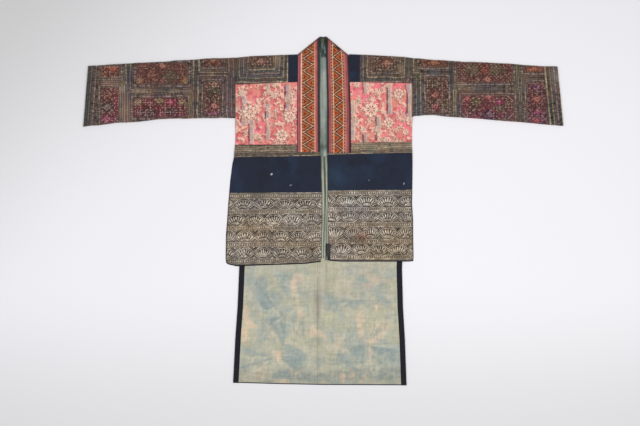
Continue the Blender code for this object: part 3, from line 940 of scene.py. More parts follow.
def stained(paint, x, y, wander_x, wander_y):
    for stain_x, stain_y, half_width, half_height, share in rows_of(STAINS):
        sharp = 0.3 if share > 0 and half_width < 10 else 1
        dx = mix(x, wander_x, sharp) - stain_x
        dy = mix(y, wander_y, sharp) - stain_y
        away = np.abs(dx / half_width) ** 1.5 + np.abs(dy / half_height) ** 1.5
        near = abs(share) * fade(0.3, 1.3, away)
        if share > 0:
            paint = over(paint, dye(216, 192, 166), 0.9 * near)
        else:
            paint = over(paint, dye(144, 157, 154), 0.8 * near)
    return paint


def rayed(paint, x, y):
    """The straight-sided rays that the knots left in the dye."""
    for tip_x, tip_y, reach, aim, spread, share in rows_of(WEDGES):
        away = np.hypot(x - tip_x, y - tip_y)
        turn = np.arctan2(y - tip_y, x - tip_x + 1e-9) + drift(0.1, x, y, 12, 75, clouds)
        held = fade(0.55, 1.05, away / reach) * smooth(2, 9, away)
        held = held * fade(0.7, 1.1, off_aim(turn, aim) / spread)
        tone = dye(136, 151, 151) if share > 0 else dye(204, 197, 174)
        paint = over(paint, tone, np.abs(share) * held)
    return paint


def pleated(paint, x, y):
    """The pleats that fan out from each knot, and how deeply they crease the cloth."""
    crease = plain_relief(x)
    for number, (tie_x, tie_y, reach, aim, spread) in enumerate(rows_of(TIES)):
        dx, dy = x - tie_x, y - tie_y
        away = np.hypot(dx, dy)
        turn = np.arctan2(dy, dx + 1e-9) + drift(0.25, x, y, 18, 70, clouds) * away / 20
        fans = blotches(3 + 9 * np.cos(turn), 9 * np.sin(turn) + 0.008 * away, 1, 300 + number)
        fades = fade(0.5, 1, away / reach) * smooth(1, 6, away)
        fades = fades * fade(0.85, 1, off_aim(turn, aim) / spread)
        paint = over(paint, dye(142, 155, 152), 0.45 * fades * smooth(0.5, 0.7, fans))
        paint = over(paint, dye(200, 194, 170), 0.35 * fades * fade(0.3, 0.44, fans))
        paint = over(paint, dye(120, 128, 124), 0.3 * fades * fade(0, 0.035, np.abs(fans - 0.5)))
        crease = np.maximum(crease, fades * np.abs(fans - 0.5) * 2)
    return paint, crease


def lined(paint, x, y):
    """The thin lines along single pleats, pale where their share is above 0 and dark below."""
    for x0, y0, x1, y1, share in rows_of(TIE_LINES):
        dx, dy = x1 - x0, y1 - y0
        t = np.clip(((x - x0) * dx + (y - y0) * dy) / (dx * dx + dy * dy), 0, 1)
        bent = 3 * np.sin(4 * t + x0)
        away = np.hypot(x - x0 - t * dx + bent, y - y0 - t * dy + bent)
        ends = np.sin(math.pi * np.clip(t, 0.04, 0.96))
        if share > 0:
            paint = over(paint, dye(216, 212, 190), share * bell(away, 0, 1.3) * ends)
        else:
            paint = over(paint, dye(118, 130, 130), -share * bell(away, 0, 1.5) * ends)
    return paint


def seamed(paint, x, y, shown):
    """The lining's centre seam, with painted light along it at both its ends and painted shade beside it,
    strongest in its middle, and the faint fold beside it, painted as a darker line.
    """
    seam = mix(*CENTRE_SEAM, smooth(*SEAM_LEANS, -y))
    ends = 1 - within(y, -300, -186, 14)
    # Painted light along the seam at both its ends.
    paint = shade(paint, 1 + 0.12 * ends * shown * bell(x, seam, 2.4))
    # Painted shade beside the seam, strongest in its middle.
    faded = (0.5 + 0.5 * blotches(0, y, 30, 59)) * (1 - 0.6 * ends)
    faded = faded * (1 - 0.7 * bell(y, -270, 22))
    paint = over(paint, dye(128, 122, 110), 0.5 * faded * bell(x, seam + 1.6, 3.6) * shown)
    paint = over(paint, dye(146, 136, 126), 0.45 * spot(x, y, seam, -205, 9, 40))
    # Painted shade: a darker line along a faint fold beside the seam.
    return over(paint, dye(134, 136, 126), 0.4 * bell(x, 6.9, 2.2) * within(y, -190, -112, 16))


def opened(paint, x, y, shown):
    """The lining as it shows between the fronts, with painted shade along the middle of the opening and
    beside the lapels and a painted highlight on its bulge; and how far it bulges there.
    """
    paint = over(paint, dye(92, 102, 98), 0.3 * within(y, 60, 108, 16))
    # Painted shade along the groove in the middle of the opening.
    groove_shade = within(y, -70, 90, 10) * smooth(5, 1, np.abs(x - 3))
    paint = over(paint, dye(88, 98, 94), 0.5 * groove_shade)
    bulge = bell(x, 6 * np.sin(y / 14), 9) * within(y, 112, 176, 12)
    # Painted highlight on the bulge.
    paint = over(paint, dye(184, 194, 180), 0.6 * bulge)
    mottled = smooth(0.42, 0.6, clouds(x * 1.6, y * 0.6, 18, 66)) * (1 - shown)
    paint = over(paint, dye(112, 128, 122), 0.6 * mottled)
    # Painted shadow beside the lapels' inner edges.
    edge = 0.75 * smooth(3.6, 8, np.abs(x - 0.6)) * smooth(96, 128, y)
    paint = over(paint, dye(54, 62, 60), edge)
    low = within(y, 60, 150, 14) * smooth(0.45, 0.6, clouds(x * 2.4, y * 0.5, 16, 68))
    paint = over(paint, dye(88, 104, 102), 0.6 * low)
    for tone_y, reach, *colour, share in rows_of(GAP_TONES):
        paint = over(paint, dye(*colour), share * bell(y, tone_y, reach))
    return paint, bulge


def lining_dye(x, y, u, v):
    """Pale blue-green and cream cotton, dyed in knots: rays, pleats, stains and a fine weave."""
    shown = smooth(0, 90, 96 - y)
    wander_x = x + drift(16, x, y, 15, 51, clouds) + drift(22, x, y, 34, 53, clouds)
    wander_y = y + drift(18, x, y, 15, 52, clouds) + drift(30, x, y, 34, 54, clouds)
    paint = ground(x, dye(146, 156, 148))
    paint = over(paint, dye(184, 181, 162), smooth(0, 1, 1.1 * shown))
    paint = clouded(paint, wander_x, wander_y, dye(158, 166, 158), 0.7, 0.45, 0.66, 40, 47)
    warm = smooth(0.5, 0.66, clouds(wander_x, wander_y, 30, 49)) * shown
    paint = over(paint, dye(178, 176, 148), 0.5 * warm)
    rosy = smooth(0.5, 0.64, clouds(x * 0.3, y * 1.4, 14, 44)) * spot(x, y, 110, -160, 70, 42)
    paint = over(paint, dye(196, 178, 160), 0.6 * rosy)
    paint = stained(paint, x, y, wander_x, wander_y)
    paint = rayed(paint, x, y)
    paint, crease = pleated(paint, x, y)
    paint = lined(paint, x, y)
    weave = drift(0.17, x * 0.08, y, 2.3, 55) + drift(0.15, x, y * 0.08, 2.3, 56)
    weave = weave + drift(0.2, x, y, 3.2, 57) + drift(0.16, x, y, 9, 62, clouds)
    paint = shade(paint, 0.97 + weave - 0.17 * smooth(-342, -368, y))
    paint = toned(paint, x, y, LINING_TINTS)
    paint = seamed(paint, x, y, shown)
    paint, bulge = opened(paint, x, y, shown)
    return paint, 0.7 * bulge + drift(0.4, wander_x, wander_y, 14, 58, clouds) + 0.3 * crease


def facing_dye(x, y, u, v):
    paint = ground(x, dye(132, 142, 129))
    paint = clouded(paint, x * 2, y * 0.7, dye(92, 106, 100), 0.9, 0.42, 0.62, 22, 61)
    # A pale band along the roll's crest: painted highlight.
    paint = over(paint, dye(186, 185, 162), 0.85 * bell(u, 0.5, 0.2))
    paint = over(paint, dye(150, 128, 82), 0.45 * smooth(0.55, 0.75, clouds(x, y, 18, 64)) * (u > 0.6))
    paint = over(paint, dye(78, 90, 86), 0.8 * smooth(60, 118, y) * clouds(x * 2, y, 18, 63))
    # Painted shade along both edges of the roll, where it turns under.
    paint = shade(paint, 1 - 0.55 * (smooth(0.68, 1, u) + fade(0, 0.22, u)))
    return paint, drift(0.7, x * 0.6, y, 14, 65)


def collar_dye(x, y, u, v):
    paint = ground(x, dye(52, 62, 60))
    paint = over(paint, dye(74, 84, 56), smooth(366, 384, y) * bell(x, 0, 8))
    paint = over(paint, dye(34, 32, 36), smooth(352, 376, y) * smooth(3, 12, np.abs(x)))
    streaks = clouds(x * 2.6, y, 16, 71)
    streaked = smooth(0.5, 0.64, streaks) * fade(366, 384, y)
    paint = over(paint, dye(104, 122, 116), 0.8 * streaked)
    paint = clouded(paint, x * 3, y, dye(24, 26, 30), 0.8, 0.5, 0.64, 13, 73)
    paint = over(paint, dye(112, 124, 118), fade(343.6, 344.6, y))
    return paint, 0.5 * (streaks - 0.5)


# The edges of the batik rows from the top down: banded and figured rows in turn.
HEM_ROWS = {
    "r": (42, 25.8, 4.6, -7.8, -32, -44.8, -68.9, -81.8, -105.3, -119),
    "l": (47, 33.6, 8.9, -2.3, -24.6, -37, -62.7, -73.9, -97.4, -109),
}
REPEATS = (46, 42.5, 39.8, 43)  # from one figure to the next, row by row
STROKE_PITCH = 4.5  # from one stroke of a fan to the next, halfway up the row


def figured_row(x, up, height, seed):
    """Cream fans of strokes in lens-shaped figures, whose double outlines cross; light from 0 to 1."""
    repeat = REPEATS[seed // 2]
    slip = drift(6, x, seed * 31, 34, 81)
    place = (x + slip) / repeat + 0.37 * seed
    cell = np.floor(place)
    middle = (place - cell - 0.5) * repeat
    edge = 0.5 * repeat - np.abs(middle)
    level = up / height - 0.44 + 0.06 * (picked(cell + seed, 7) - 0.5)
    rise = np.clip(edge / (0.42 * repeat), 0, 1)
    lens = np.where(level > 0, 0.56, 0.44) * height * np.sin(0.5 * math.pi * rise) ** 0.9
    steep = 0.5 * height * 1.5 / (0.42 * repeat) * np.cos(0.5 * math.pi * rise)
    away = (np.abs(level) * height - lens) / np.hypot(1, steep)
    bars = within(away, -3.2, -1.9, 0.2) + within(away, 0, 1.5, 0.2) + 0.45 * within(away, 3.4, 4.6, 0.2)
    spring = 6 + 3 * picked(cell + 5 * seed, 8)
    radius = np.hypot(middle, up + spring)
    turn_per_stroke = STROKE_PITCH / (spring + 0.55 * height)
    count = np.arctan2(middle, up + spring) / turn_per_stroke
    beside = np.abs(count - np.round(count)) * turn_per_stroke * radius
    kind = picked(cell * 3 + seed, 2)
    tall = (radius - spring - 0.52 * height) / (0.34 * height)
    short = (radius - spring - 0.62 * height) / (0.22 * height)
    dots = (radius - spring - 0.26 * height) / (0.09 * height)
    body = 1.35 * np.sqrt(np.clip(1 - np.where(kind > 0.7, tall, short) ** 2, 0, 1))
    body = np.maximum(body, 1.3 * np.sqrt(np.clip(1 - dots ** 2, 0, 1)) * (kind < 0.7))
    strokes = fade(body - 0.2, body + 0.3, beside) * (body > 0.2) * (away < -3.9)
    from_eye = np.hypot(middle, up - 0.4 * height)
    eyed = (kind < 0.3) & (from_eye < 4.2) & (away < -3.9)
    strokes = np.where(eyed, fade(0.6, 1.2, np.abs(from_eye - 2.2)), strokes)
    gap = np.hypot(edge, 1.2 * (0.5 - np.abs(up / height - 0.5)) * height)
    blobs = fade(1.6, 2.6, gap) * (away > 5.4)
    strength = 0.62 + 0.5 * blotches(x, up, 7, 83 + seed)
    worn = 0.5 + 0.85 * blotches(x, up, 3.2, 84)
    return np.clip((bars + strokes + blobs) * worn, 0, 1) * np.clip(strength, 0, 1)


def banded_row(x, up, height, seed):
    """The fine lines of a plain batik row, and the ticks between them; light from 0 to 1."""
    middle = np.abs(up - 0.5 * height)
    lines = within(middle, 0.5 * height - 2.4, 0.5 * height - 0.9, 0.3) + 0.6 * within(middle, 2.6, 3.6, 0.3)
    wave = np.cos(2 * math.pi * x / 4.7 + 4 * blotches(x, up, 20, 86))
    ticks = within(middle, -1, 2, 0.3) * smooth(-0.3, 0.5, wave)
    ticks = ticks * (0.35 + 0.65 * smooth(0.2, 0.5, blotches(x, seed * 13, 24, 88)))
    worn = 0.1 + 1.1 * blotches(x, up * 3, 4, 87 + seed)
    return np.clip((0.6 * lines + 1 * ticks) * worn, 0, 1)


HEM_TINTS = {
    "r": table(
        "x y reach red green blue",
        (-150, -60, 60, 1.06, 0.98, 0.88),
        (-60, -74, 46, 0.84, 0.78, 0.7),
        (-96, 22, 24, 1.24, 1.24, 1.24),
        (-212, -72, 10, 0.84, 0.84, 0.84),
        (-209, -92, 13, 0.76, 0.75, 0.74),
        (-206, -112, 15, 0.66, 0.66, 0.66),
        (-18, -90, 18, 0.8, 0.8, 0.77),
        (-16, -109, 18, 0.74, 0.79, 0.84),
        (-34, 22, 18, 1.2, 1.2, 1.2),
        (-170, -30, 40, 1.05, 1, 0.9),
        (-30, 20, 50, 1.02, 1.02, 0.98),
    ),
    "l": table(
        "x y reach red green blue",
        (87, -57, 16, 1.16, 0.84, 0.76),
        (74, -68, 46, 0.76, 0.73, 0.7),
        (110, -58, 16, 0.82, 0.82, 0.78),
        (56, -38, 14, 1.34, 1.34, 1.28),
        (168, -92, 24, 0.84, 0.84, 0.8),
        (119, -93, 24, 0.76, 0.79, 0.76),
        (120, -100, 50, 1.1, 1, 0.84),
        (170, -60, 50, 1.05, 1, 0.9),
        (60, 20, 45, 0.96, 1, 1.04),
    ),
}


def batik_hem_dye(side):
    """Figured and banded batik rows, one above the other, on dark indigo."""

    def paint_hem(x, y, u, v):
        level = y + drift(2.2, x, 0, 60, 91) + drift(0.9, x, y, 14, 92)
        paint = ground(x, dye(110, 100, 94))
        light = plain_relief(x)
        edges = HEM_ROWS[side]
        for seed, (high, low) in enumerate(zip(edges, edges[1:])):
            here = within(level, low, high, 0.4)
            figured = seed % 2 == 1
            row = figured_row if figured else banded_row
            light = light + here * row(x, level - low, high - low, seed)
            paint = over(paint, dye(26, 16, 6) if figured else dye(98, 87, 72), 0.92 * here)
            paint = shade(paint, 1 - 0.5 * bell(level, high, 0.8))
        paint = clouded(paint, x, y, dye(126, 98, 70), 0.24, 0.45, 0.7, 42, 93)
        paint = clouded(paint, x, y, dye(86, 88, 104), 0.22, 0.5, 0.7, 34, 96)
        cream = clouded(ground(x, dye(232, 220, 204)), x, y, dye(192, 182, 170), 1, 0.35, 0.65, 22, 99)
        light = np.clip(light * (0.5 + 0.95 * blotches(x, y, 2.6, 97)), 0, 1)
        paint = over(paint, cream, light)
        paint = shade(paint, 0.86 + 0.28 * blotches(x, y, 2.5, 98))
        paint = toned(paint, x, y, HEM_TINTS[side])
        inward = np.abs(edge_x(FRONT_SIDES, side, y)) - np.abs(x)
        paint = over(paint, dye(44, 42, 42), 0.75 * fade(1.2, 3.6, inward))
        return paint, 0.25 * light

    return paint_hem


STRIP_PITCH = 4.6  # from one row of the batik strip to the next
STRIP_DARK = {"r": dye(80, 69, 62), "l": dye(100, 87, 77)}
STRIP_LIGHT = {"r": 0.64, "l": 0.83}  # how strong its light rows are
STRIP_TINTS = table("x y reach red green blue", (186, 140, 28, 0.82, 0.88, 0.97))


def batik_strip_dye(side):
    """Fine worn rows of light and dark, with cream dashes along the lowest one."""
    low = SEAMS[side]["strip"]

    def paint_strip(x, y, u, v):
        up = y - mix(low[1], low[0], across_front(x))
        up = up + drift(3.4, x, 0, 34, 101) + drift(2.2, x, up, 10, 102)
        row = np.floor(up / STRIP_PITCH + 0.5)
        paint = ground(x, STRIP_DARK[side])
        paint = over(paint, dye(152, 135, 113), STRIP_LIGHT[side] * picked(row, 3))
        paint = over(paint, dye(64, 56, 52), 0.8 * (picked(row, 8) > 0.55))
        grain = picked(np.floor(x / 2.3) * 2.7 + row * 11, 12)
        worn = 0.5 * blotches(x, row * 9, 5, 103) + 0.6 * blotches(x, row * 5, 2.4, 104)
        paint = shade(paint, 0.3 + worn + 0.5 * grain)
        paint = clouded(paint, x, y, dye(150, 124, 78), 0.3, 0.5, 0.8, 30, 107)
        paint = clouded(paint, x, y, dye(88, 96, 88), 0.35, 0.55, 0.8, 22, 109)
        # A lighter band near the strip's foot, and painted shadow along its top below the chest panel.
        paint = shade(paint, 1 + 0.3 * bell(up, 4, 4) - 0.2 * smooth(16, 24, up))
        paint = toned(paint, x, y, STRIP_TINTS)
        dashes = within(up, 0.4, 2.2, 0.3) * (np.abs(x) < 110)
        dashes = dashes * smooth(0.3, 0.6, blotches(x, 0, 7, 105))
        paint = over(paint, dye(194, 180, 152), 0.7 * dashes)
        return paint, 0.2 * ripple(up, STRIP_PITCH), (up / STRIP_PITCH, x, 1)

    return paint_strip


def box_distance(x, y, field):
    """How far a point lies outside a field of cross stitch, to its sides and to its ends."""
    x0, x1, y0, y1 = field[:4]
    return np.abs(x - 0.5 * (x0 + x1)) - 0.5 * (x1 - x0), np.abs(y - 0.5 * (y0 + y1)) - 0.5 * (y1 - y0)


# Fields of cross stitch: their edges, the stitches from diamond to diamond and the order of colours.
FIELDS = {
    "r": table(
        "x0 x1 y0 y1 repeat scheme",
        (-498, -455, 298.5, 322, 5, 9),
        (-495.5, -458.5, 196, 274.5, 5, 2),
        (-417, -303.5, 284, 330, 3, 3),
        (-422.5, -305.5, 210, 251.5, 5, 4),
        (-263.5, -225.5, 323.5, 338, 5, 1),
        (-266, -229, 214, 288.5, 6, 5),
        (-163, -112.5, 321, 346, 6, 6),
    ),
    "l": table(
        "x0 x1 y0 y1 repeat scheme",
        (215, 275.5, 323, 339, 5, 1),
        (232, 277, 219, 298, 5, 5),
        (299, 422.5, 287, 331.5, 4, 3),
        (310, 425, 205, 257.5, 6, 7),
        (448.5, 495, 310.5, 323.5, 3, 1),
        (455.5, 499, 196, 285, 5, 8),
        (113, 167, 312.5, 346, 6, 6),
    ),
}
MAROON, CRIMSON, RUST, PLUM = dye(108, 64, 61), dye(120, 54, 65), dye(114, 66, 52), dye(88, 52, 68)
MOSS, COCOA = dye(80, 74, 60), dye(98, 64, 56)
BLUSH, INK = dye(206, 154, 136), dye(34, 28, 30)
STITCH = 2.2  # a cross stitch's width
# For each scheme: the diamonds, the second colour of every other one, the lines between and the hearts.
SCHEMES = {
    1: (RUST, COCOA, BROWN, MAROON),
    2: (MAROON, COCOA, TAN, INK),
    3: (MAROON, COCOA, OLIVE, INK),
    4: (CRIMSON, MAROON, TAN, BLUSH),
    5: (MAROON, MOSS, OLIVE, BLUSH),
    6: (COCOA, MOSS, TAN, BLUSH),
    7: (CRIMSON, MOSS, OLIVE, BLUSH),
    8: (MAROON, PLUM, OLIVE, DUSTY),
    9: (RUST, COCOA, TAN, BLUSH),
}
# The larger motifs in the fields: each one's place, reach and cloth, and how light its heart is.
MOTIFS = table(
    "x y half_width half_height red green blue heart",
    (-482.7, 232, 17, 14, 58, 76, 70, 0.8),
    (-482.7, 204, 17, 13, 140, 44, 84, 0.9),
    (-482.7, 260, 16, 14, 118, 66, 56, 0.4),
    (-463, 240, 5, 40, 150, 56, 78, 0),
    (-391, 218.6, 22, 15, 58, 70, 64, 0.3),
    (-341, 222, 19, 11, 60, 76, 68, 0.2),
    (-414, 243.5, 13, 11, 120, 116, 78, 1),
    (-366, 247, 14, 11, 122, 116, 78, 0.9),
    (-315, 243.5, 12, 11, 120, 114, 80, 1),
    (-341, 243, 13, 10, 156, 46, 84, 0.5),
    (-413, 288.5, 11, 9, 150, 110, 64, 1),
    (-308, 290, 10, 12, 150, 116, 66, 1),
    (-360, 326, 10, 10, 160, 104, 82, 1),
    (-341, 300, 22, 16, 84, 86, 66, 0.3),
    (-385, 304, 20, 16, 118, 68, 58, 0.4),
    (-243.5, 282, 9, 7, 128, 100, 72, 1),
    (-245, 268, 19, 9, 78, 84, 62, 0.2),
    (-246, 249, 15, 9, 74, 60, 52, 0.6),
    (-243.5, 233.5, 11, 8, 160, 84, 84, 1),
    (-245, 217, 18, 7, 122, 50, 92, 0.5),
    (-245.6, 336, 9, 8, 150, 96, 70, 1),
    (-470.3, 318, 14, 9, 176, 76, 52, 0.6),
    (366.6, 293.5, 12, 8, 158, 100, 82, 1),
    (333, 314, 22, 16, 100, 96, 72, 0.3),
    (386, 314, 22, 16, 98, 96, 72, 0.3),
    (360, 316, 12, 14, 150, 74, 62, 0.2),
    (369, 254, 14, 7, 168, 92, 92, 1),
    (342.7, 245, 16, 12, 96, 98, 64, 0.2),
    (395, 230, 18, 12, 84, 88, 66, 0.3),
    (369, 213.5, 22, 14, 58, 50, 76, 0.4),
    (393, 243, 10, 9, 146, 44, 96, 0.4),
    (322, 250, 9, 9, 170, 62, 78, 0.9),
    (250.7, 258.9, 12, 9, 166, 92, 84, 1),
    (250.7, 232.5, 12, 8, 150, 60, 80, 0.9),
    (252, 283, 18, 10, 90, 78, 62, 0.2),
    (247, 331, 14, 9, 160, 100, 62, 0.8),
    (474, 276, 16, 10, 116, 62, 100, 0.2),
    (476.5, 249.3, 13, 10, 176, 88, 80, 1),
    (479, 220.6, 12, 9, 140, 44, 92, 0.5),
    (476.5, 201.5, 13, 8, 160, 56, 72, 0.7),
    (469, 316, 16, 6, 170, 96, 62, 0.7),
    (-138.5, 334, 16, 10, 140, 92, 80, 1),
    (141, 330, 15, 12, 146, 90, 66, 1),
)
# Where the frames' threads have other tones: place, reach and colour.
FRAME_TONES = table(
    "x y half_width half_height red green blue",
    (-362, 271, 26, 5, 44, 50, 50),
    (365, 269, 34, 8, 56, 64, 68),
    (-448, 250, 8, 60, 112, 108, 76),
    (-436, 250, 5, 70, 66, 60, 76),
    (-432, 300, 6, 30, 60, 56, 62),
    (-290, 260, 6, 60, 56, 60, 66),
    (-296, 240, 5, 40, 128, 118, 82),
    (-212, 240, 8, 40, 96, 82, 106),
    (-205, 300, 8, 40, 64, 68, 66),
    (-519, 270, 9, 70, 60, 60, 62),
    (285, 300, 6, 40, 58, 58, 64),
    (293, 250, 5, 60, 112, 110, 78),
    (302, 235, 4, 30, 60, 54, 90),
    (440, 230, 6, 40, 56, 58, 68),
    (450, 292, 12, 16, 136, 116, 94),
    (-475, 285, 22, 8, 156, 122, 106),
    (-104, 336, 10, 14, 166, 142, 112),
    (172, 318, 10, 12, 150, 124, 104),
    (-463, 250, 12, 10, 150, 120, 112),
    (-463, 301, 12, 8, 150, 124, 108),
    (-392, 248, 12, 10, 150, 120, 112),
    (307, 283, 12, 8, 150, 126, 106),
    (468, 265, 10, 10, 150, 118, 100),
    (-124, 288, 20, 8, 76, 62, 60),
    (-212, 340, 16, 12, 118, 96, 86),
    (-410, 268, 14, 7, 152, 126, 108),
    (-305, 268, 12, 7, 152, 126, 108),
    (432, 300, 5, 50, 116, 112, 78),
    (215, 235, 9, 34, 76, 84, 90),
    (208, 300, 6, 40, 92, 92, 60),
    (247, 309, 14, 7, 78, 86, 92),
    (-190, 330, 10, 30, 70, 74, 80),
    (190, 330, 10, 30, 74, 76, 66),
    (-140, 300, 40, 6, 88, 88, 90),
    (520, 250, 8, 70, 122, 98, 78),
    (-443, 230, 14, 60, 156, 134, 122),
)


def lattice_dye(x, y, field):
    """The colour of one cross stitch in a field of diamonds."""
    x0, x1, y0, y1, repeat, scheme = field
    cloth, second, line, heart = SCHEMES[int(scheme)]
    middle_x, middle_y = 0.5 * (x0 + x1), 0.5 * (y0 + y1)
    across, up = np.round((x - middle_x) / STITCH), np.round((y - middle_y) / STITCH)
    stitch_x, stitch_y = middle_x + across * STITCH, middle_y + up * STITCH
    p, q = (across + up) / repeat, (across - up) / repeat
    cell_p, cell_q = np.round(p), np.round(q)
    rim = 2 * np.maximum(np.abs(p - cell_p), np.abs(q - cell_q))
    chance = picked(cell_p * 7 + cell_q * 13, scheme)
    roll = picked(across * 3.17 + up * 7.73, 9)
    paint = ground(x, cloth)
    paint = over(paint, second, clouds(stitch_x, stitch_y, 20, int(200 + 10 * scheme)) > 0.52)
    glow = plain_relief(x)
    overall = ground(x, 0.55 * cloth + 0.3 * second + 0.15 * line)
    overall = over(overall, dye(108, 54, 92), 0.4 * fade(204, 236, y))
    for motif_x, motif_y, half_width, half_height, *colour, light in rows_of(MOTIFS):
        if not (x0 - 5 < motif_x < x1 + 5 and y0 - 8 < motif_y < y1 + 8):
            continue
        away = np.abs(stitch_x - motif_x) / half_width + np.abs(stitch_y - motif_y) / half_height
        paint = over(paint, dye(*colour) * 0.7, 0.7 * (away < 1))
        overall = over(overall, dye(*colour), 0.45 * (away < 1))
        star = (away < 0.62) & (np.round(across + up) % 2 < 0.5) & (away > 0.12)
        glow = np.maximum(glow, light * star)
    paint = shade(paint, 0.6 + 0.9 * picked(across * 5.31 + up * 2.97, 4))
    node = (np.abs(p - cell_p) > 0.39) & (np.abs(q - cell_q) > 0.39)
    paint = over(paint, INK, 0.6 * ((rim > 0.79) & (roll < 0.75)))
    paint = over(paint, line * 1.4, 0.9 * (node & (chance > 0.2) & (roll > 0.3)))
    paint = over(paint, heart * 1.1, 0.85 * ((rim < 0.2) & (chance > 0.35)))
    paint = over(paint, BLUSH, 0.6 * glow)
    paint = over(paint, LIGHT * 1.1, 0.7 * (roll > 0.94))
    paint = over(paint, INK, 0.75 * ((roll < 0.12) & (glow < 0.5)))
    corner_x, corner_y = np.minimum(x - x0, x1 - x), np.minimum(y - y0, y1 - y)
    corners = 1 if scheme == 7 else 0.3
    paint = over(paint, LIGHT, 0.8 * corners * (np.abs(corner_x + corner_y - 13) < 1.4))
    paint = over(paint, SOOT, 0.5 * corners * (corner_x + corner_y < 11.4))
    shares = np.array((0.3, 0.59, 0.11))
    tone, overall = paint ** (1 / 2.2), overall ** (1 / 2.2)
    faded = overall + ((tone - overall) @ shares)[..., None]
    return np.clip(mix(tone, faded, 0.6), 0.05, 1) ** 2.2


PATCH_TINTS = table(
    "x y reach red green blue",
    (-213, 337, 22, 0.8, 0.76, 0.68),
    (-463, 247, 18, 1.34, 1.45, 1.4),
    (-463, 268, 18, 1.3, 1.25, 1.25),
    (-392, 247, 18, 1.26, 1.45, 1.45),
    (468, 265, 18, 1.33, 1.5, 1.26),
    (-123, 284, 22, 0.78, 0.79, 0.85),
)


BLOCK_TONE = {"r": dye(94, 88, 84), "l": dye(104, 90, 64)}  # over the frames of a shoulder block


def patchwork_dye(side):
    """A patch's cloth: its field of diamonds, the couched rings around it, and their changes of tone."""
    fields = list(rows_of(FIELDS[side]))

    def paint_patch(x, y, u, v):
        beside, beyond = np.array([box_distance(x, y, field) for field in fields]).swapaxes(0, 1)
        ways = np.maximum(beside, beyond)
        nearest = ways.argmin(axis=0)
        distance = ways.min(axis=0)
        second = np.sort(ways, axis=0)[1]
        upright = np.take_along_axis(beside > beyond, nearest[None], axis=0)[0]
        along = np.where(upright, y, x + 700)
        wobble = drift(2.4, x, y, 24, 111) + drift(1.6, x, y, 9, 112)
        ring = np.maximum(distance, 0) + wobble
        paint = ring_dye(ring, 2 if side == "r" and np.abs(x).max() < 200 else 0, along)
        paint = over(paint, BLOCK_TONE[side], 0.18 * fade(190, 200, np.abs(x)))
        paint = over(paint, dye(52, 48, 48), 0.8 * fade(1.6, 3.6, second - distance))
        for tone_x, tone_y, half_width, half_height, *colour in rows_of(FRAME_TONES):
            away = np.hypot((x - tone_x) / half_width, (y - tone_y) / half_height)
            paint = over(paint, dye(*colour), 0.45 * fade(0.4, 1.4, away))
        paint = clouded(paint, x, y, dye(112, 78, 62), 0.4, 0.5, 0.72, 40, 118)
        paint = clouded(paint, x, y, dye(66, 62, 70), 0.4, 0.5, 0.72, 30, 115)
        for number, field in enumerate(fields):
            inside = (nearest == number) & (distance < 0)
            if inside.any():
                paint[inside] = lattice_dye(x[inside], y[inside], field)
        paint = toned(paint, x, y, PATCH_TINTS)
        outside = smooth(0, 0.6, distance)
        relief = 0.2 * ripple(ring, RING_PITCH) * outside
        return paint, relief, (ring / RING_PITCH, along, outside)

    return paint_patch


# ---- The ribbon: its stripes by their distance from the middle of the zigzag ----

# The darkest stripe at each ribbon's outer edge is partly the ribbon's own dark edge and partly painted
# shadow along it.
RIBBON_STRIPES = {
    "r": table(
        "low high red green blue",
        (-30, -27.6, 50, 20, 28),
        (-27.6, -24.6, 172, 92, 102),
        (-24.6, -23.2, 126, 50, 62),
        (-23.2, -21, 184, 106, 108),
        (-21, -18.9, 238, 192, 166),
        (-18.9, -16, 190, 122, 86),
        (-16, 5, 110, 56, 34),
        (5, 9.4, 190, 122, 84),
        (9.4, 11, 222, 166, 142),
        (11, 12.2, 182, 104, 98),
        (12.2, 13.4, 132, 58, 66),
        (13.4, 15.6, 176, 98, 100),
        (15.6, 17.6, 92, 36, 46),
        (17.6, 30, 36, 40, 38),
    ),
    "l": table(
        "low high red green blue",
        (-30, -27.2, 44, 22, 26),
        (-27.2, -24.4, 96, 38, 44),
        (-24.4, -21.8, 160, 84, 92),
        (-21.8, -20.8, 124, 54, 66),
        (-20.8, -17, 184, 106, 102),
        (-17, -13.4, 192, 126, 90),
        (-13.4, -11.9, 228, 186, 154),
        (-11.9, 8, 110, 56, 34),
        (8, 9.6, 226, 186, 150),
        (9.6, 12.6, 190, 128, 88),
        (12.6, 15.4, 180, 102, 98),
        (15.4, 16.4, 134, 60, 68),
        (16.4, 18.8, 166, 90, 94),
        (18.8, 20.6, 88, 38, 42),
        (20.6, 30, 40, 34, 34),
    ),
}
DOTTED = {"r": (-17.4, 7.3), "l": (-15.2, 11.1)}
ZIGZAG = {
    "r": {"low": -16, "high": 5.6, "repeat": 27.5, "start": 16.95},
    "l": {"low": -11.9, "high": 8, "repeat": 27.8, "start": 3.7},
}
DOT_PITCH = 6.9
RIBBON_WIDTH = {"r": 50.2, "l": 52.2}
RIBBON_TONE = {"r": 0.91, "l": 0.82}
# Painted shade on the right ribbon where it turns in towards the neck.
RIBBON_NECK_SHADE = table(
    "x y reach red green blue",
    (-16.5, 377, 10, 0.82, 0.76, 0.76),
    (-16.5, 364, 11, 0.74, 0.66, 0.66),
)


# The lines inside each triangle of the zigzag, by their depth.
TRIANGLE_LINES = table(
    "low high red green blue",
    (0.8, 3.2, 54, 24, 14),
    (3.2, 4.2, 180, 98, 58),
    (4.2, 5.2, 128, 58, 32),
)


def zigzag_place(across, along, zigzag):
    """How deep a point lies inside its triangle, and how far from the triangle's base."""
    span = zigzag["high"] - zigzag["low"]
    t = (across - zigzag["low"]) / span
    turn = (along + zigzag["start"]) / zigzag["repeat"]
    share = turn - np.floor(turn)
    wave = 1 - np.abs(2 * share - 1)
    slope = math.hypot(1, 2 * span / zigzag["repeat"])
    return np.abs(t - wave) * span / slope, np.where(t < wave, t, 1 - t) * span


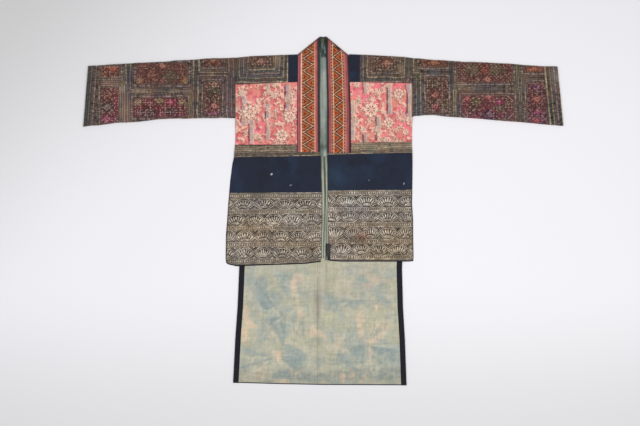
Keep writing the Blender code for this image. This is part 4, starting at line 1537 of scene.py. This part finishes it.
def zigzag_dye(x, along, depth, base, side):
    """The triangles' nested lines and hearts, and the stepped cream zigzag between them."""
    age = clouds(x, along, 30, 127 + ord(side))
    glow = over(ground(x, dye(188, 98, 46)), dye(170, 108, 56), smooth(0.45, 0.65, age))
    core = over(ground(x, dye(152, 42, 10)), dye(130, 42, 14), smooth(0.4, 0.7, age))
    stepped = smooth(-0.5, 0.4, ripple(along, 4.6))
    cream = over(ground(x, dye(226, 184, 154)), dye(190, 138, 110), stepped)
    band = ground(x, dye(190, 112, 74))
    for low, high, *colour in rows_of(TRIANGLE_LINES):
        band = over(band, dye(*colour), within(depth, low, high, 0.25))
    band = over(band, glow, smooth(5, 5.4, depth))
    band = over(band, core, smooth(6.6, 7, depth) * smooth(0.6, 1.2, base))
    return over(band, cream, fade(0.65, 1, depth))


def ribbon_dye(side):
    """Woven stripes and a zigzag of nested triangles, by their place across and along the ribbon."""
    zigzag = ZIGZAG[side]

    def paint_ribbon(x, y, u, v):
        along = lapel_run(side, u, v)
        across = -29 + RIBBON_WIDTH[side] * u + drift(0.8, 0, along, 40, 125)
        paint = ground(x, dye(120, 60, 50))
        for low, high, *colour in rows_of(RIBBON_STRIPES[side]):
            paint = over(paint, dye(*colour), within(across, low, high, 0.25))
        for middle in DOTTED[side]:
            dots = fade(1, 1.6, np.abs(across - middle)) * smooth(-0.1, 0.35, ripple(along, DOT_PITCH))
            paint = over(paint, dye(70, 22, 20), 0.95 * dots)
        paint = shade(paint, 1 + 0.1 * ripple(along, 2.6) * (across < -18.8))
        inside = within(across, zigzag["low"], zigzag["high"], 0.25)
        depth, base = zigzag_place(across, along, zigzag)
        paint = over(paint, zigzag_dye(x, along, depth, base, side), inside)
        paint = shade(paint, RIBBON_TONE[side] + 0.28 * blotches(x, along, 9, 121))
        # Painted shade near the neck, on the right ribbon only.
        if side == "r":
            paint = toned(paint, x, y, RIBBON_NECK_SHADE)
        # Painted shade on the ribbon from just before its fold on, where it turns over.
        paint = over(paint, dye(62, 40, 34), 0.65 * smooth(LEG - 0.013, LEG, v))
        ribs = 0.06 * ripple(across, 1.7)
        return paint, ribs + 0.16 * fade(0.45, 1, depth) * inside

    return paint_ribbon


# ---- The printed cotton: bars, star flowers and blossoms on coral ----

BARS = {
    "r": table(
        "x low high half_width",
        (-177, 191.5, 268, 5),
        (-123.9, 262, 284, 4.6),
        (-123, 207.2, 240, 5),
        (-124, 157.9, 190, 4.6),
        (-78.4, 226, 283.4, 5),
        (-159, 151.2, 204, 5.4),
    ),
    "l": table(
        "x low high half_width",
        (95, 263, 287.8, 4.8),
        (149, 216.2, 284, 5),
        (123.5, 172, 212, 4.8),
        (95, 151.2, 172, 5),
        (66, 157.9, 247.5, 5.2),
        (192.5, 200, 283.4, 5.6),
    ),
}
STARS = {
    "r": table(
        "x y reach turn",
        (-164.6, 221, 21, 0.1),
        (-75, 210, 17.5, 0.3),
        (-93, 169, 18.5, 0.15),
        (-181, 262, 9, 0.2),
        (-197, 226, 9, 0),
        (-110, 258, 9, 0.35),
    ),
    "l": table(
        "x y reach turn",
        (106.5, 226, 22.5, 0.05),
        (168.5, 262, 15.5, 0.25),
        (146, 197.5, 15.5, 0.2),
        (89.6, 181, 8.5, 0.1),
        (142.7, 158, 11, 0),
        (184, 176.5, 8.5, 0.3),
        (75, 283, 9, 0.2),
    ),
}
SPRIGS = {
    "r": table(
        "x0 y0 x1 y1",
        (-196, 252, -172, 284),
        (-152, 238, -128, 262),
        (-146, 276, -110, 284),
        (-128, 262, -96, 270),
        (-108, 214, -88, 246),
        (-152, 192, -138, 212),
        (-136, 246, -122, 224),
        (-124, 204, -108, 188),
        (-190, 196, -196, 208),
        (-176, 170, -168, 182),
        (-150, 172, -140, 158),
        (-72, 246, -66, 262),
        (-110, 152, -84, 150),
        (-186, 240, -180, 214),
    ),
    "l": table(
        "x0 y0 x1 y1",
        (78, 246, 104, 254),
        (104, 254, 122, 262),
        (122, 264, 142, 276),
        (132, 286, 146, 274),
        (66, 214, 74, 200),
        (96, 199, 108, 203),
        (112, 196, 126, 168),
        (126, 168, 134, 154),
        (160, 222, 168, 206),
        (172, 226, 188, 208),
        (158, 180, 172, 188),
        (182, 206, 194, 196),
        (150, 152, 176, 160),
        (88, 268, 80, 250),
    ),
}
# The dark slivers beside some bars: x, y and half the length.
SLITS = {
    "r": ((-86, 268, 9), (-87, 229, 8), (-129.5, 213, 9), (-58.5, 205, 14), (-166, 168, 14)),
    "l": ((142.5, 246, 30), (117.5, 200, 11), (89, 160, 10), (187.5, 240, 22), (118, 164, 8)),
}
CORAL, SALMON, ROSY = dye(216, 118, 116), dye(219, 135, 122), dye(232, 120, 132)
TAUPE, MAUVE, WINE = dye(186, 162, 148), dye(166, 148, 154), dye(120, 50, 56)
PETAL, PETAL_SHADE, PETAL_DOT = dye(236, 200, 180), dye(140, 108, 92), dye(76, 44, 40)


def star_flower(paint, x, y, star_x, star_y, reach, turn):
    """An open cream flower of eight narrow petals, each with side lobes, dots and a shaded side."""

    def petals_of(dx, dy):
        away = np.hypot(dx, dy)
        angle = np.arctan2(dy, dx) + turn
        turned = (angle * 4 / math.pi + 0.5) % 1 - 0.5
        beside = np.abs(turned) * away * math.pi / 4
        share = np.clip(away / reach, 0, 1.3)
        half = reach * (0.035 + 0.1 * bell(share, 0.62, 0.22))
        petal = np.minimum(half - beside, (reach - away) * 0.8)
        gap = np.abs(0.5 - np.abs(turned)) * away * math.pi / 4
        lobe = np.minimum(0.05 * reach - gap, 0.1 * reach - np.abs(away - 0.5 * reach))
        return away, beside, gap, np.maximum(np.maximum(petal, lobe), 0.14 * reach - away)

    cast = petals_of(x - star_x + 1.6, y - star_y + 1.5)[-1]
    away, beside, gap, shape = petals_of(x - star_x, y - star_y)
    paint = over(paint, PETAL_SHADE, 0.9 * smooth(-0.7, 0.3, cast) * (reach > 6))
    paint = over(paint, PETAL, smooth(-0.4, 0.4, shape))
    dots = fade(1, 1.6, gap) * within(away, 0.26 * reach, 0.4 * reach, 0.4)
    tips = fade(0.8, 1.3, beside) * within(away, 0.7 * reach, 0.84 * reach, 0.4)
    worn = smooth(0.35, 0.6, blotches(x, y, 3, 133))
    paint = over(paint, PETAL_DOT, 0.9 * (0.75 * dots * worn + tips) * (reach > 9))
    heart = within(away, 0.07 * reach, 0.14 * reach, 0.3)
    return over(paint, dye(206, 116, 100), 0.5 * heart)


def blossom_sprig(paint, x, y, x0, y0, x1, y1, seed):
    """A slanting sprig of pale blossoms and leaves with a dull shadow."""
    for number, step in enumerate(np.linspace(0, 1, 5)):
        pick = seed * 17 + number * 5
        place_x = mix(x0, x1, step) + 8 * (picked(pick, 1) - 0.5)
        place_y = mix(y0, y1, step) + 8 * (picked(pick, 2) - 0.5)
        reach = 2.6 + 4.6 * picked(pick, 3)
        lobes = 2 + np.floor(4 * picked(pick, 4))
        lean = 6.3 * picked(pick, 5)
        tone = over(PETAL, dye(216, 176, 160), picked(pick, 7))
        for shift, colour, share in ((1.5, PETAL_SHADE, 0.9), (0, tone, 0.95)):
            dx, dy = x - place_x + shift, y - place_y + shift
            long = 1 + 0.8 * picked(pick, 6)
            angle = np.arctan2(dy, dx * long)
            edge = reach * (0.62 + 0.38 * np.cos(lobes * angle + lean))
            away = np.hypot(dx * long, dy)
            paint = over(paint, colour, share * fade(edge - 0.7, edge + 0.3, away))
        middle = fade(0.7, 1.4, np.hypot(x - place_x, y - place_y))
        paint = over(paint, dye(196, 112, 100), 0.8 * middle * (reach > 4))
    return paint


PRINT_TINTS = {
    "r": table(
        "x y reach red green blue",
        (-193, 248, 12, 0.75, 0.75, 0.82),
        (-105, 212, 18, 1.06, 1.3, 1.3),
        (-159, 248, 18, 1.14, 1.2, 1.35),
    ),
    "l": table(
        "x y reach red green blue",
        (64, 248, 14, 1.25, 1.3, 1.2),
        (146, 212, 18, 0.88, 0.76, 0.82),
    ),
}


SPRAY_CAST = {"r": 2.4, "l": 1.6}  # how far the small sprays' dark side reaches
SPRAY_DARK = {"r": 0.85, "l": 0.7}  # and how strong it is


def barred_cloth(paint, x, y, bars):
    """Grey bars with a wine edge, a cool side and a pale side, and where they lie."""
    barred = plain_relief(x)
    for bar_x, low, high, half_width in rows_of(bars):
        sway = bar_x + drift(5, x * 0.3, y, 16, 145 + int(abs(bar_x)), clouds)
        reach = half_width * (0.7 + 0.6 * blotches(x * 0.2, y, 9, 146))
        length = within(y + drift(5, x, 0, 4, 144), low, high, 1.5)
        bar = length * within(x, sway - reach, sway + reach, 0.6)
        left = (x - sway + reach + 1.2) / (1 + 1.4 * blotches(x * 0.2, y, 12, 148 + int(abs(low))))
        cool = within(x, sway - reach, sway + 0.1 * reach, 1.2) * smooth(0.3, 0.6, blotches(x, y, 9, 147))
        pale = within(x, sway + 0.5 * reach, sway + reach, 0.6)
        paint = over(paint, WINE, 0.8 * length * bell(left, 0, 1))
        paint = over(paint, TAUPE, 0.9 * bar)
        paint = over(paint, MAUVE, 0.9 * length * cool)
        paint = over(paint, dye(214, 190, 168), 0.8 * length * pale)
        barred = np.maximum(barred, bar)
    return paint, barred


def sprayed_cloth(paint, x, y, side, clear):
    """Small pale sprays with a dark side, and red flecks, where the cloth is clear of bars."""
    seed = 139 + ord(side)
    cast = clouds(x + SPRAY_CAST[side], y + SPRAY_CAST[side], 8, seed)
    paint = over(paint, dye(148, 84, 76), SPRAY_DARK[side] * clear * smooth(0.57, 0.61, cast))
    paint = clouded(paint, x, y, dye(232, 188, 168), 0.9 * clear, 0.57, 0.61, 8, seed)
    return clouded(paint, x, y, dye(172, 72, 76), 0.6 * clear, 0.62, 0.67, 9, seed + 2)


def printed_dye(side):
    """Coral cotton with grey bars, small sprays, slanting sprigs, star flowers and dark slits."""

    def paint_print(x, y, u, v):
        paint = clouded(ground(x, CORAL), x, y, SALMON, 1, 0.4, 0.62, 34, 131)
        paint = clouded(paint, x, y, ROSY, 0.85, 0.52, 0.68, 30, 137)
        paint, barred = barred_cloth(paint, x, y, BARS[side])
        paint = sprayed_cloth(paint, x, y, side, 1 - 0.85 * barred)
        if side == "l":
            # Painted shadow along the armhole seam at the panel's outer edge, and painted shade along its
            # lower edge.
            paint = over(paint, dye(74, 60, 56), 0.8 * smooth(196.2, 198, x) * (y > 209))
            for shadow_x, shadow_y in ((92, 156), (163, 158)):
                paint = over(paint, dye(146, 104, 94), 0.5 * spot(x, y, shadow_x, shadow_y, 13, 8))
        for seed, sprig in enumerate(rows_of(SPRIGS[side])):
            paint = blossom_sprig(paint, x, y, *sprig, seed + 1)
        for slit_x, slit_y, half_length in SLITS[side]:
            ends = fade(half_length - 1, half_length + 1, np.abs(y - slit_y))
            paint = over(paint, dye(74, 24, 32), 0.95 * ends * bell(x, slit_x, 1.4))
        for star in rows_of(STARS[side]):
            paint = star_flower(paint, x, y, *star)
        paint = toned(paint, x, y, PRINT_TINTS[side])
        return shade(paint, 0.86 + 0.28 * blotches(x, y, 4, 149)), plain_relief(x)

    return paint_print


# ---- The pieces ----


def make_back():
    """The outer back and its yoke, both hidden below the lining and bands that show."""

    top = BACK_BLOCK_BOTTOM - SEAM_GAP

    def back_point(u, v):
        level = mix(HEM_Y, top, v)
        x = mix(edge_x(BACK_EDGES, "r", level), edge_x(BACK_EDGES, "l", level), u)
        return x, mix(between(BACK_HEM, "y", "x", x), top, v), CLOTH

    def yoke_point(u, v):
        right = edge_x(LAPEL_EDGES, "r", LAPEL_TURN_Y["r"], "_outer")
        left = edge_x(LAPEL_EDGES, "l", LAPEL_TURN_Y["l"], "_outer")
        gap = SEAM_GAP / 2
        x = np.interp(u, (0, 0.499, 0.501, 1), (right, -gap, gap, left))
        seam = np.minimum(neck_seam_y(x), min(LAPEL_TURN_Y.values()) - 2 * SEAM_GAP) - SEAM_GAP
        return x, mix(BACK_BLOCK_BOTTOM, seam, v), CLOTH

    make_cloth("back_outer", back_point, spaced(380, 4), spaced(670, 4), CLOTH, navy_dye,
               navy_hemp, flat=(400, 676), step=8)
    make_cloth("back_yoke", yoke_point, spaced(118, 4), spaced(60, 4), CLOTH, navy_dye,
               navy_hemp, flat=(119, 62))


def make_lining_half(side):
    turn = TURN[side]

    def point(u, v):
        level = mix(HEM_Y, LINING_NECK, v)
        seam = mix(*CENTRE_SEAM, smooth(*SEAM_LEANS, -level))
        edge = edge_x(BACK_EDGES, side, level) - turn * (EDGE_BAND + SEAM_GAP)
        x = mix(seam + turn * SEAM_GAP / 2, edge, u)
        y = mix(between(BACK_HEM, "y", "x", x) + HEM_SHOWS, LINING_NECK, v)
        return x, y, LINING_TOP + lining_lift(x, y)

    make_cloth("back_lining_" + side, point, spaced(180, 2.4), spaced(725, 2.6), LINING_WALL, lining_dye,
               pale_cotton, flat=(184, 728), roll=0.3, step=8)


def make_edge_band(side):
    turn = TURN[side]

    def point(u, v):
        level = mix(HEM_Y, SLIT_TOP, v)
        x = edge_x(BACK_EDGES, side, level) - turn * EDGE_BAND * (1 - u)
        y = mix(between(BACK_HEM, "y", "x", x), SLIT_TOP, v)
        return x, y, LINING_BOTTOM + BAND_WALL + 0.6 * lining_lift(x, y)

    make_cloth("back_edge_band_" + side, point, np.linspace(0, 1, 13), spaced(518, 2), BAND_WALL,
               black_dye, black_cotton, flat=(EDGE_BAND, 519))


def centre_x(side, y, beside_lapel):
    if beside_lapel:
        return edge_x(LAPEL_EDGES, side, y, "_outer") + TURN[side] * SEAM_GAP
    return edge_x(FRONT_CENTRES, side, y)


def make_front_piece(name, side, low, high, across, along, paint, finish, flat,
                     beside_lapel=False, roll=0.35):
    turn = TURN[side]

    def point(u, v):
        level = mix(seam_y(side, low, turn * MID_FRONT), seam_y(side, high, turn * MID_FRONT), v)
        edge = edge_x(FRONT_SIDES, side, level)
        x = mix(edge, centre_x(side, level, beside_lapel), u)
        half = SEAM_GAP / 2
        y = mix(seam_y(side, low, x) + half, seam_y(side, high, x) - half, v)
        return x, y, front_top(x, y)

    make_cloth(f"{name}_{side}", point, across, along, CLOTH, paint, finish, flat,
               roll=roll)


def make_batik_strip(side):
    """The narrow strip under the chest panel. It runs on under the lapel's foot to the centre."""
    turn = TURN[side]
    slant = 0.4
    foot = edge_x(LAPEL_EDGES, side, 131, "_outer") + turn * (SEAM_GAP + slant)
    start = seam_y(side, "strip", turn * MID_FRONT)
    side_edge = edge_x(FRONT_SIDES, side, start)
    centre = centre_x(side, start, False)
    at_foot = (abs(side_edge) - abs(foot)) / (abs(side_edge) - turn * centre)
    step = slant / (abs(side_edge) - turn * centre)

    def point(u, v):
        edge = edge_x(FRONT_SIDES, side, start + 14 * v)
        x = mix(edge, centre, u)
        low = seam_y(side, "strip", x) + SEAM_GAP / 2
        past_foot = turn * x < abs(foot) - slant / 2
        high = np.where(past_foot, seam_y(side, "lapel_foot", x) - SEAM_GAP, seam_y(side, "chest", x))
        y = mix(low, high - SEAM_GAP / 2, v)
        return x, y, front_top(x, y)

    outer = at_foot * spaced(140, 1.15)
    inner = at_foot + step + (1 - at_foot - step) * spaced(52, 1.15)
    make_cloth("batik_strip_" + side, point, np.concatenate((outer, inner)), np.linspace(0, 1, 25), CLOTH,
               batik_strip_dye(side), batik_hemp, flat=(207, 29))


def make_facing(side):
    """The pale facing that has rolled out at the centre opening."""
    roll = FACING_ROLL[side]
    inward = -TURN[side]

    def point(u, v):
        y = mix(*FACING_ENDS, v)
        start = edge_x(FRONT_CENTRES, side, y) + inward * SEAM_GAP
        share = mix(FACING_NARROWS, 1, smooth(-60, 90, y))
        share = share * (1 + drift(0.1, 0, y, 26, 151))
        x = start + inward * roll["width"] * share * u
        return x, y, FRONT_BOTTOM + LINING_WALL + roll["height"] * share * np.sin(math.pi * u)

    make_cloth("centre_facing_" + side, point, np.linspace(0, 1, 15), spaced(228, 1.6), LINING_WALL,
               facing_dye, pale_cotton, flat=(18, 230),
               roll=0.2, step=4)


def over_shoulder(x, v, front_end):
    """A point of cloth that comes up the front, folds over the shoulder line and goes down behind."""
    radius = FRONT_TOP / 2
    crest = between(SHOULDER_LINE, "y", "x", x) - radius
    front, back = FOLD_SHARES
    rising = mix(front_end, crest, v / front)
    angle = math.pi * (v - front) / (back - front)
    falling = mix(crest, BACK_BLOCK_BOTTOM, (v - back) / (1 - back))
    y = np.where(v < front, rising, np.where(v > back, falling, crest + radius * np.sin(angle)))
    top = FRONT_TOP + smooth(0, 20, crest - y) * crease_rise(x, y)
    return x, y, np.where(v < front, top, np.where(v > back, 0, radius * (1 + np.cos(angle))))


def make_shoulder(side):
    """The patchwork block and the navy yoke beside the lapel, both folded over the shoulder."""
    turn = TURN[side]
    half_gap = turn * SEAM_GAP / 2
    front, back = FOLD_SHARES
    rows = np.concatenate((front * spaced(60, 1.1)[:-3], np.linspace(front, back, 10),
                           np.linspace(back, 1, 18)[1:]))

    def block_point(u, v):
        x = mix(ARMHOLE[side], YOKE_EDGE[side] + half_gap, u)
        return over_shoulder(x, v, seam_y(side, "block", x) + SEAM_GAP / 2)

    def yoke_point(u, v):
        lapel = edge_x(LAPEL_EDGES, side, LAPEL_TURN_Y[side], "_outer") + 4 * half_gap
        x = mix(YOKE_EDGE[side] - half_gap, lapel, u)
        return over_shoulder(x, v, seam_y(side, "block", x) + SEAM_GAP / 2)

    make_cloth("shoulder_block_" + side, block_point, spaced(118, 1.1), rows, CLOTH, patchwork_dye(side),
               patchwork, flat=(119, 132), sewn=side)
    make_cloth("shoulder_yoke_" + side, yoke_point, spaced(20, 1.5), rows, CLOTH, navy_dye, navy_hemp,
               flat=(19.6, 132))


def sleeve_x(side, along, up):
    return mix(ARMHOLE[side], TURN[side] * (CUFF_REACH[side] - CUFF_TOP_IN[side] * up), along)


# A place round a sleeve is counted from its lower fold: over the upper face, round the upper fold and
# back along the under face, then round the lower fold.
UPPER, FOLD, UNDER = 8, 3, 2
TURNED = UPPER + FOLD
BACK_AGAIN = TURNED + UNDER


def sleeve_section(side, along, place):
    """A point of the flattened tube at a share along it and a place round it."""
    rows = SLEEVES[side]
    top = between(rows, "top", "along", along)
    bottom = between(rows, "bottom", "along", along)
    height = between(rows, "height", "along", along)
    reach = np.abs(sleeve_x(side, along, 0.5))
    top = top + drift(1.5, reach, 0, 17, 181 + ord(side))
    bottom = bottom + drift(2, reach, 0, 21, 183 + ord(side))
    radius = height / 2
    share = np.clip(place / UPPER, 0, 1)
    y = mix(bottom + radius, top - radius, share)
    flat = smooth(0, 0.14, share) * smooth(0, 0.14, 1 - share)
    z = height + flat * crease_rise(sleeve_x(side, along, (y - bottom) / (top - bottom)), y)
    turn = math.pi * (place - UPPER) / FOLD
    folding = (place > UPPER) & (place <= TURNED)
    y = np.where(folding, top - radius + radius * np.sin(turn), y)
    z = np.where(folding, radius * (1 + np.cos(turn)), z)
    beneath = (place > TURNED) & (place <= BACK_AGAIN)
    y = np.where(beneath, mix(top - radius, bottom + radius, (place - TURNED) / UNDER), y)
    z = np.where(beneath, 0, z)
    turn = math.pi * (place - BACK_AGAIN) / FOLD
    rising = place > BACK_AGAIN
    y = np.where(rising, bottom + radius - radius * np.sin(turn), y)
    z = np.where(rising, radius * (1 - np.cos(turn)), z)
    return sleeve_x(side, along, (y - bottom) / (top - bottom)), y, z


def make_sleeve(side):
    """A sleeve: a flattened tube of four patchwork rings with an open cuff."""
    around = np.concatenate((
        np.linspace(0, UPPER, 126),
        UPPER + np.linspace(0, FOLD, 10)[1:],
        TURNED + np.linspace(0, UNDER, 34)[1:],
        BACK_AGAIN + np.linspace(0, FOLD, 10)[1:],
    ))
    reach = abs(TURN[side] * CUFF_REACH[side] - ARMHOLE[side])
    for name, ring in SLEEVE_RINGS.items():
        start, end = ring[side]
        start += (SEAM_GAP if start == 0 else SEAM_GAP / 2) / reach
        end -= 0 if end == 1 else SEAM_GAP / 2 / reach

        def point(u, v):
            return sleeve_section(side, mix(start, end, v), u)

        length = (end - start) * reach
        paint = cuff_dye(side) if name == "cuff" else patchwork_dye(side)
        make_cloth(f"sleeve_{name}_{side}", point, around, spaced(length, 1.05), CLOTH, paint, patchwork,
                   flat=(2 * SLEEVE_WIDTH, length), wrap=True, sewn=None if name == "cuff" else side)


def cuff_dye(side):
    """Couched stripes that run round the cuff."""

    def paint_cuff(x, y, u, v):
        inward = CUFF_REACH[side] - CUFF_TOP_IN[side] * (y - 190) / 136 - np.abs(x)
        ring = inward + drift(0.8, x, y, 20, 161)
        paint = ring_dye(ring, {"r": 9, "l": 3}[side], y) * {"r": 0.96, "l": 0.87}[side]
        if side == "r":
            paint = over(paint, dye(58, 60, 60), 0.75 * within(inward, -3, 14, 3))
        else:
            paint = clouded(paint, x, y * 0.6, dye(120, 88, 72), 0.45, 0.4, 0.7, 24, 163)
            paint = over(paint, dye(172, 162, 148), 0.4 * spot(x, y, 522, 302, 12, 18))
        paint = clouded(paint, x, y * 0.5, dye(60, 58, 66), 0.4, 0.5, 0.72, 22, 165)
        return paint, 0.2 * ripple(ring, RING_PITCH), (ring / RING_PITCH, y, 1)

    return paint_cuff


def lapel_fold(side):
    """The slanting line on which a lapel folds: its low and high ends and its slope."""
    turn_y = LAPEL_TURN_Y[side]
    low = (edge_x(LAPEL_EDGES, side, turn_y, "_outer"), turn_y)
    high = (edge_x(LAPEL_EDGES, side, NECK_Y, "_inner"), NECK_Y)
    return low, high, math.atan2(high[1] - low[1], abs(high[0] - low[0]))


def neck_seam_y(x):
    """The lower edge of the folded lapel behind the neck."""
    radius = LAPEL_TOP / 2
    seam = []
    for side in ("r", "l"):
        low, _, slope = lapel_fold(side)
        start_x = abs(low[0]) + math.pi * radius * math.sin(slope)
        start_y = low[1] - radius / math.cos(slope) + math.pi * radius * math.cos(slope)
        seam.append(start_y - (start_x - np.abs(x)) / math.tan(2 * slope))
    return np.where(x < 0, seam[0], seam[1])


LEG, BEND = 0.8, 0.86  # the shares of a lapel's length at which its fold starts and ends


def lapel_turned(side, u, v):
    """How far past the fold a point of the lapel lies, square to the fold."""
    low, high, slope = lapel_fold(side)
    radius = LAPEL_TOP / 2
    fold_x = mix(low[0], high[0], u)
    last = (np.abs(fold_x) - SEAM_GAP / 2) / (2 * math.sin(slope)) + math.pi * radius / 2
    bending = math.pi * radius * (v - LEG) / (BEND - LEG)
    behind = mix(math.pi * radius, last, (v - BEND) / (1 - BEND))
    return np.where(v <= LEG, 0, np.where(v <= BEND, bending, behind))


def lapel_leg(side, u, v):
    """The height of a lapel's fold at u, and the height that its leg has reached at v."""
    low, high, slope = lapel_fold(side)
    fold_y = mix(low[1], high[1], u) - LAPEL_TOP / 2 / math.cos(slope)
    foot_y = SEAMS[side]["lapel_foot"][0] + SEAM_GAP
    return fold_y, mix(foot_y, fold_y, np.minimum(v / LEG, 1))


def lapel_run(side, u, v):
    """The length along the ribbon from the jacket's middle height, over the fold and on."""
    slope = lapel_fold(side)[2]
    return lapel_leg(side, u, v)[1] + lapel_turned(side, u, v) / math.cos(slope)


def make_lapel(side):
    """One half of the ribbon: up the front, folded aslant at the shoulder, on behind the neck."""
    low, high, slope = lapel_fold(side)
    radius = LAPEL_TOP / 2

    def point(u, v):
        fold_x = mix(low[0], high[0], u)
        fold_y, y = lapel_leg(side, u, v)
        outer = edge_x(LAPEL_EDGES, side, y, "_outer")
        inner = edge_x(LAPEL_EDGES, side, y, "_inner")
        x = mix(outer, inner, u)
        z = LAPEL_TOP + 0.5 * smooth(0, 40, fold_y - y) * crease_rise(x, y)
        turned = lapel_turned(side, u, v)
        bending = turned <= math.pi * radius + 1e-9
        outward = np.where(bending, radius * np.sin(turned / radius), math.pi * radius - turned)
        along = turned * math.tan(slope)
        x_past = TURN[side] * (np.abs(fold_x) - along * math.cos(slope) + outward * math.sin(slope))
        y_past = fold_y + along * math.sin(slope) + outward * math.cos(slope)
        z_past = np.where(bending, radius * (1 + np.cos(turned / radius)), 0)
        leg = v <= LEG
        return np.where(leg, x, x_past), np.where(leg, y, y_past), np.where(leg, z, z_past)

    rows = np.concatenate((LEG * spaced(236, 0.95)[:-3], np.linspace(LEG, BEND, 12),
                           np.linspace(BEND, 1, 24)[1:]))
    make_cloth("lapel_" + side, point, spaced(51, 0.85), rows, LAPEL_WALL, ribbon_dye(side), ribbon_weave,
               flat=(52, 296), roll=0.4,
               inner=dye(56, 62, 60))


def make_collar_lining():
    def point(u, v):
        y = mix(COLLAR_LINING_LOW[0], COLLAR_LINING_HIGH[0], v)
        half = mix(COLLAR_LINING_LOW[1], COLLAR_LINING_HIGH[1], v)
        return mix(-half, half, u), y, LINING_TOP

    make_cloth("collar_lining", point, spaced(84, 1.6), spaced(43, 1.4), LINING_WALL, collar_dye,
               dark_cotton, flat=(86, 43))


def patch_dye(x, y, u, v):
    """Worn near-black cotton, darkest along its folds, where the dark is painted shade, with the pale lining
    at its turned corner.
    """
    paint = over(ground(x, dye(62, 62, 66)), dye(40, 40, 44), clouds(x, y, 9, 171))
    # Painted shade along the folds.
    paint = over(paint, dye(20, 24, 14), 0.9 * fade(0.1, 0.34, u) * smooth(0.25, 0.5, v))
    fold = within(u + 0.16 * v, 0.5, 0.85, 0.12) * fade(0.1, 0.5, v)
    paint = over(paint, dye(26, 26, 28), 0.8 * fold)
    turned = fade(0.1, 0.3, v) * fade(0.3, 0.45, u) * smooth(0.06, 0.16, u)
    return over(paint, dye(128, 134, 118), 0.9 * turned), plain_relief(x)


def make_corner_patch():
    """The loose dark patch on the left front's lower centre corner."""

    def point(u, v):
        y = mix(*PATCH_Y, v)
        return mix(*PATCH_X, u), y, front_top(PATCH_X[1], y) + PATCH_LIFT + LINING_WALL

    make_cloth("corner_patch_l", point, np.linspace(0, 1, 12), spaced(38, 1.4), LINING_WALL, patch_dye,
               black_cotton, flat=(11.4, 38))


make_back()
make_collar_lining()
make_corner_patch()
for each in ("r", "l"):
    make_lining_half(each)
    make_edge_band(each)
    make_front_piece("chest_panel", each, "chest", "block", spaced(140, 1), spaced(136, 1),
                     printed_dye(each), coral_cotton, flat=(141, 138), beside_lapel=True)
    make_front_piece("navy_band", each, "navy", "strip", spaced(200, 2), spaced(82, 2), navy_dye,
                     navy_hemp, flat=(207, 84))
    make_front_piece("batik_hem", each, "binding", "navy", spaced(205, 1.1), spaced(156, 1),
                     batik_hem_dye(each), batik_hemp, flat=(213, 161))
    make_front_piece("hem_binding", each, "hem", "binding", spaced(205, 2), np.linspace(0, 1, 7),
                     black_dye, black_cotton, flat=(213, 10), roll=0.5)
    make_batik_strip(each)
    make_facing(each)
    make_shoulder(each)
    make_sleeve(each)
    make_lapel(each)


# ---- The studio ----


def area_light(name, place, size, power, colour):
    data = bpy.data.lights.new(name, "AREA")
    data.shape = "SQUARE"
    data.size = size
    data.energy = power
    data.color = colour
    light = bpy.data.objects.new(name, data)
    light.location = place
    x, y, z = place
    light.rotation_euler = (math.atan2(math.hypot(x, y), z), 0.0, math.atan2(x, -y))
    bpy.context.scene.collection.objects.link(light)


PAPER_LIT = (0.830, 0.825, 0.862, 1.0)
PAPER_DIM = (0.530, 0.525, 0.520, 1.0)


def make_floor():
    mesh = bpy.data.meshes.new("pale_floor")
    half, level = 6.0, -0.0002
    corners = ((-1, -1), (1, -1), (1, 1), (-1, 1))
    mesh.from_pydata([(half * x, half * y, level) for x, y in corners], [], [(0, 1, 2, 3)])
    paper, shader = new_finish("pale_paper")
    place = Shade.node("TexCoord", output="Object")
    split = Shade.node("SeparateXYZ", Vector=place)
    x, y = split, split.beside("Y")
    eased = {"interpolation_type": "SMOOTHSTEP"}
    corner = Shade.node("MapRange", settings=eased, Value=y - x * 0.9, From_Min=0.4, From_Max=1.15)
    near = Shade.node("MapRange", settings=eased, Value=y, From_Min=-0.15, From_Max=-0.5)
    soft = Shade.node("TexNoise", Vector=place, Scale=1.4, Detail=1.0)
    dimmed = corner * 0.62 + near * 0.42 + soft * 0.1
    tone = Shade.node("Mix", output=2, settings={"data_type": "RGBA"}, Factor=dimmed, in6=PAPER_LIT,
                      in7=PAPER_DIM)
    Shade.feed(shader, Base_Color=tone, Roughness=0.9, Specular_IOR_Level=0.2)
    mesh.materials.append(paper)
    floor = bpy.data.objects.new("pale_floor", mesh)
    bpy.context.scene.collection.objects.link(floor)


def make_studio():
    scene = bpy.context.scene
    scene.view_settings.view_transform = "Standard"
    world = bpy.data.worlds.new("soft_studio")
    world.use_nodes = True
    background = world.node_tree.nodes["Background"]
    background.inputs["Color"].default_value = (0.995, 0.99, 0.985, 1.0)
    background.inputs["Strength"].default_value = 0.405
    scene.world = world
    area_light("key_light", (0.75, -0.2, 1.9), 1.3, 22.0, (1.0, 0.99, 0.975))
    area_light("fill_light", (-0.95, -0.35, 2.0), 1.4, 18.0, (0.985, 0.985, 1.0))
    data = bpy.data.cameras.new("camera")
    data.lens = 50.0
    data.sensor_width = 36.0
    camera = bpy.data.objects.new("camera", data)
    camera.location = (-0.0074, -0.0048, 1.99)
    scene.collection.objects.link(camera)
    scene.camera = camera


make_floor()
make_studio()
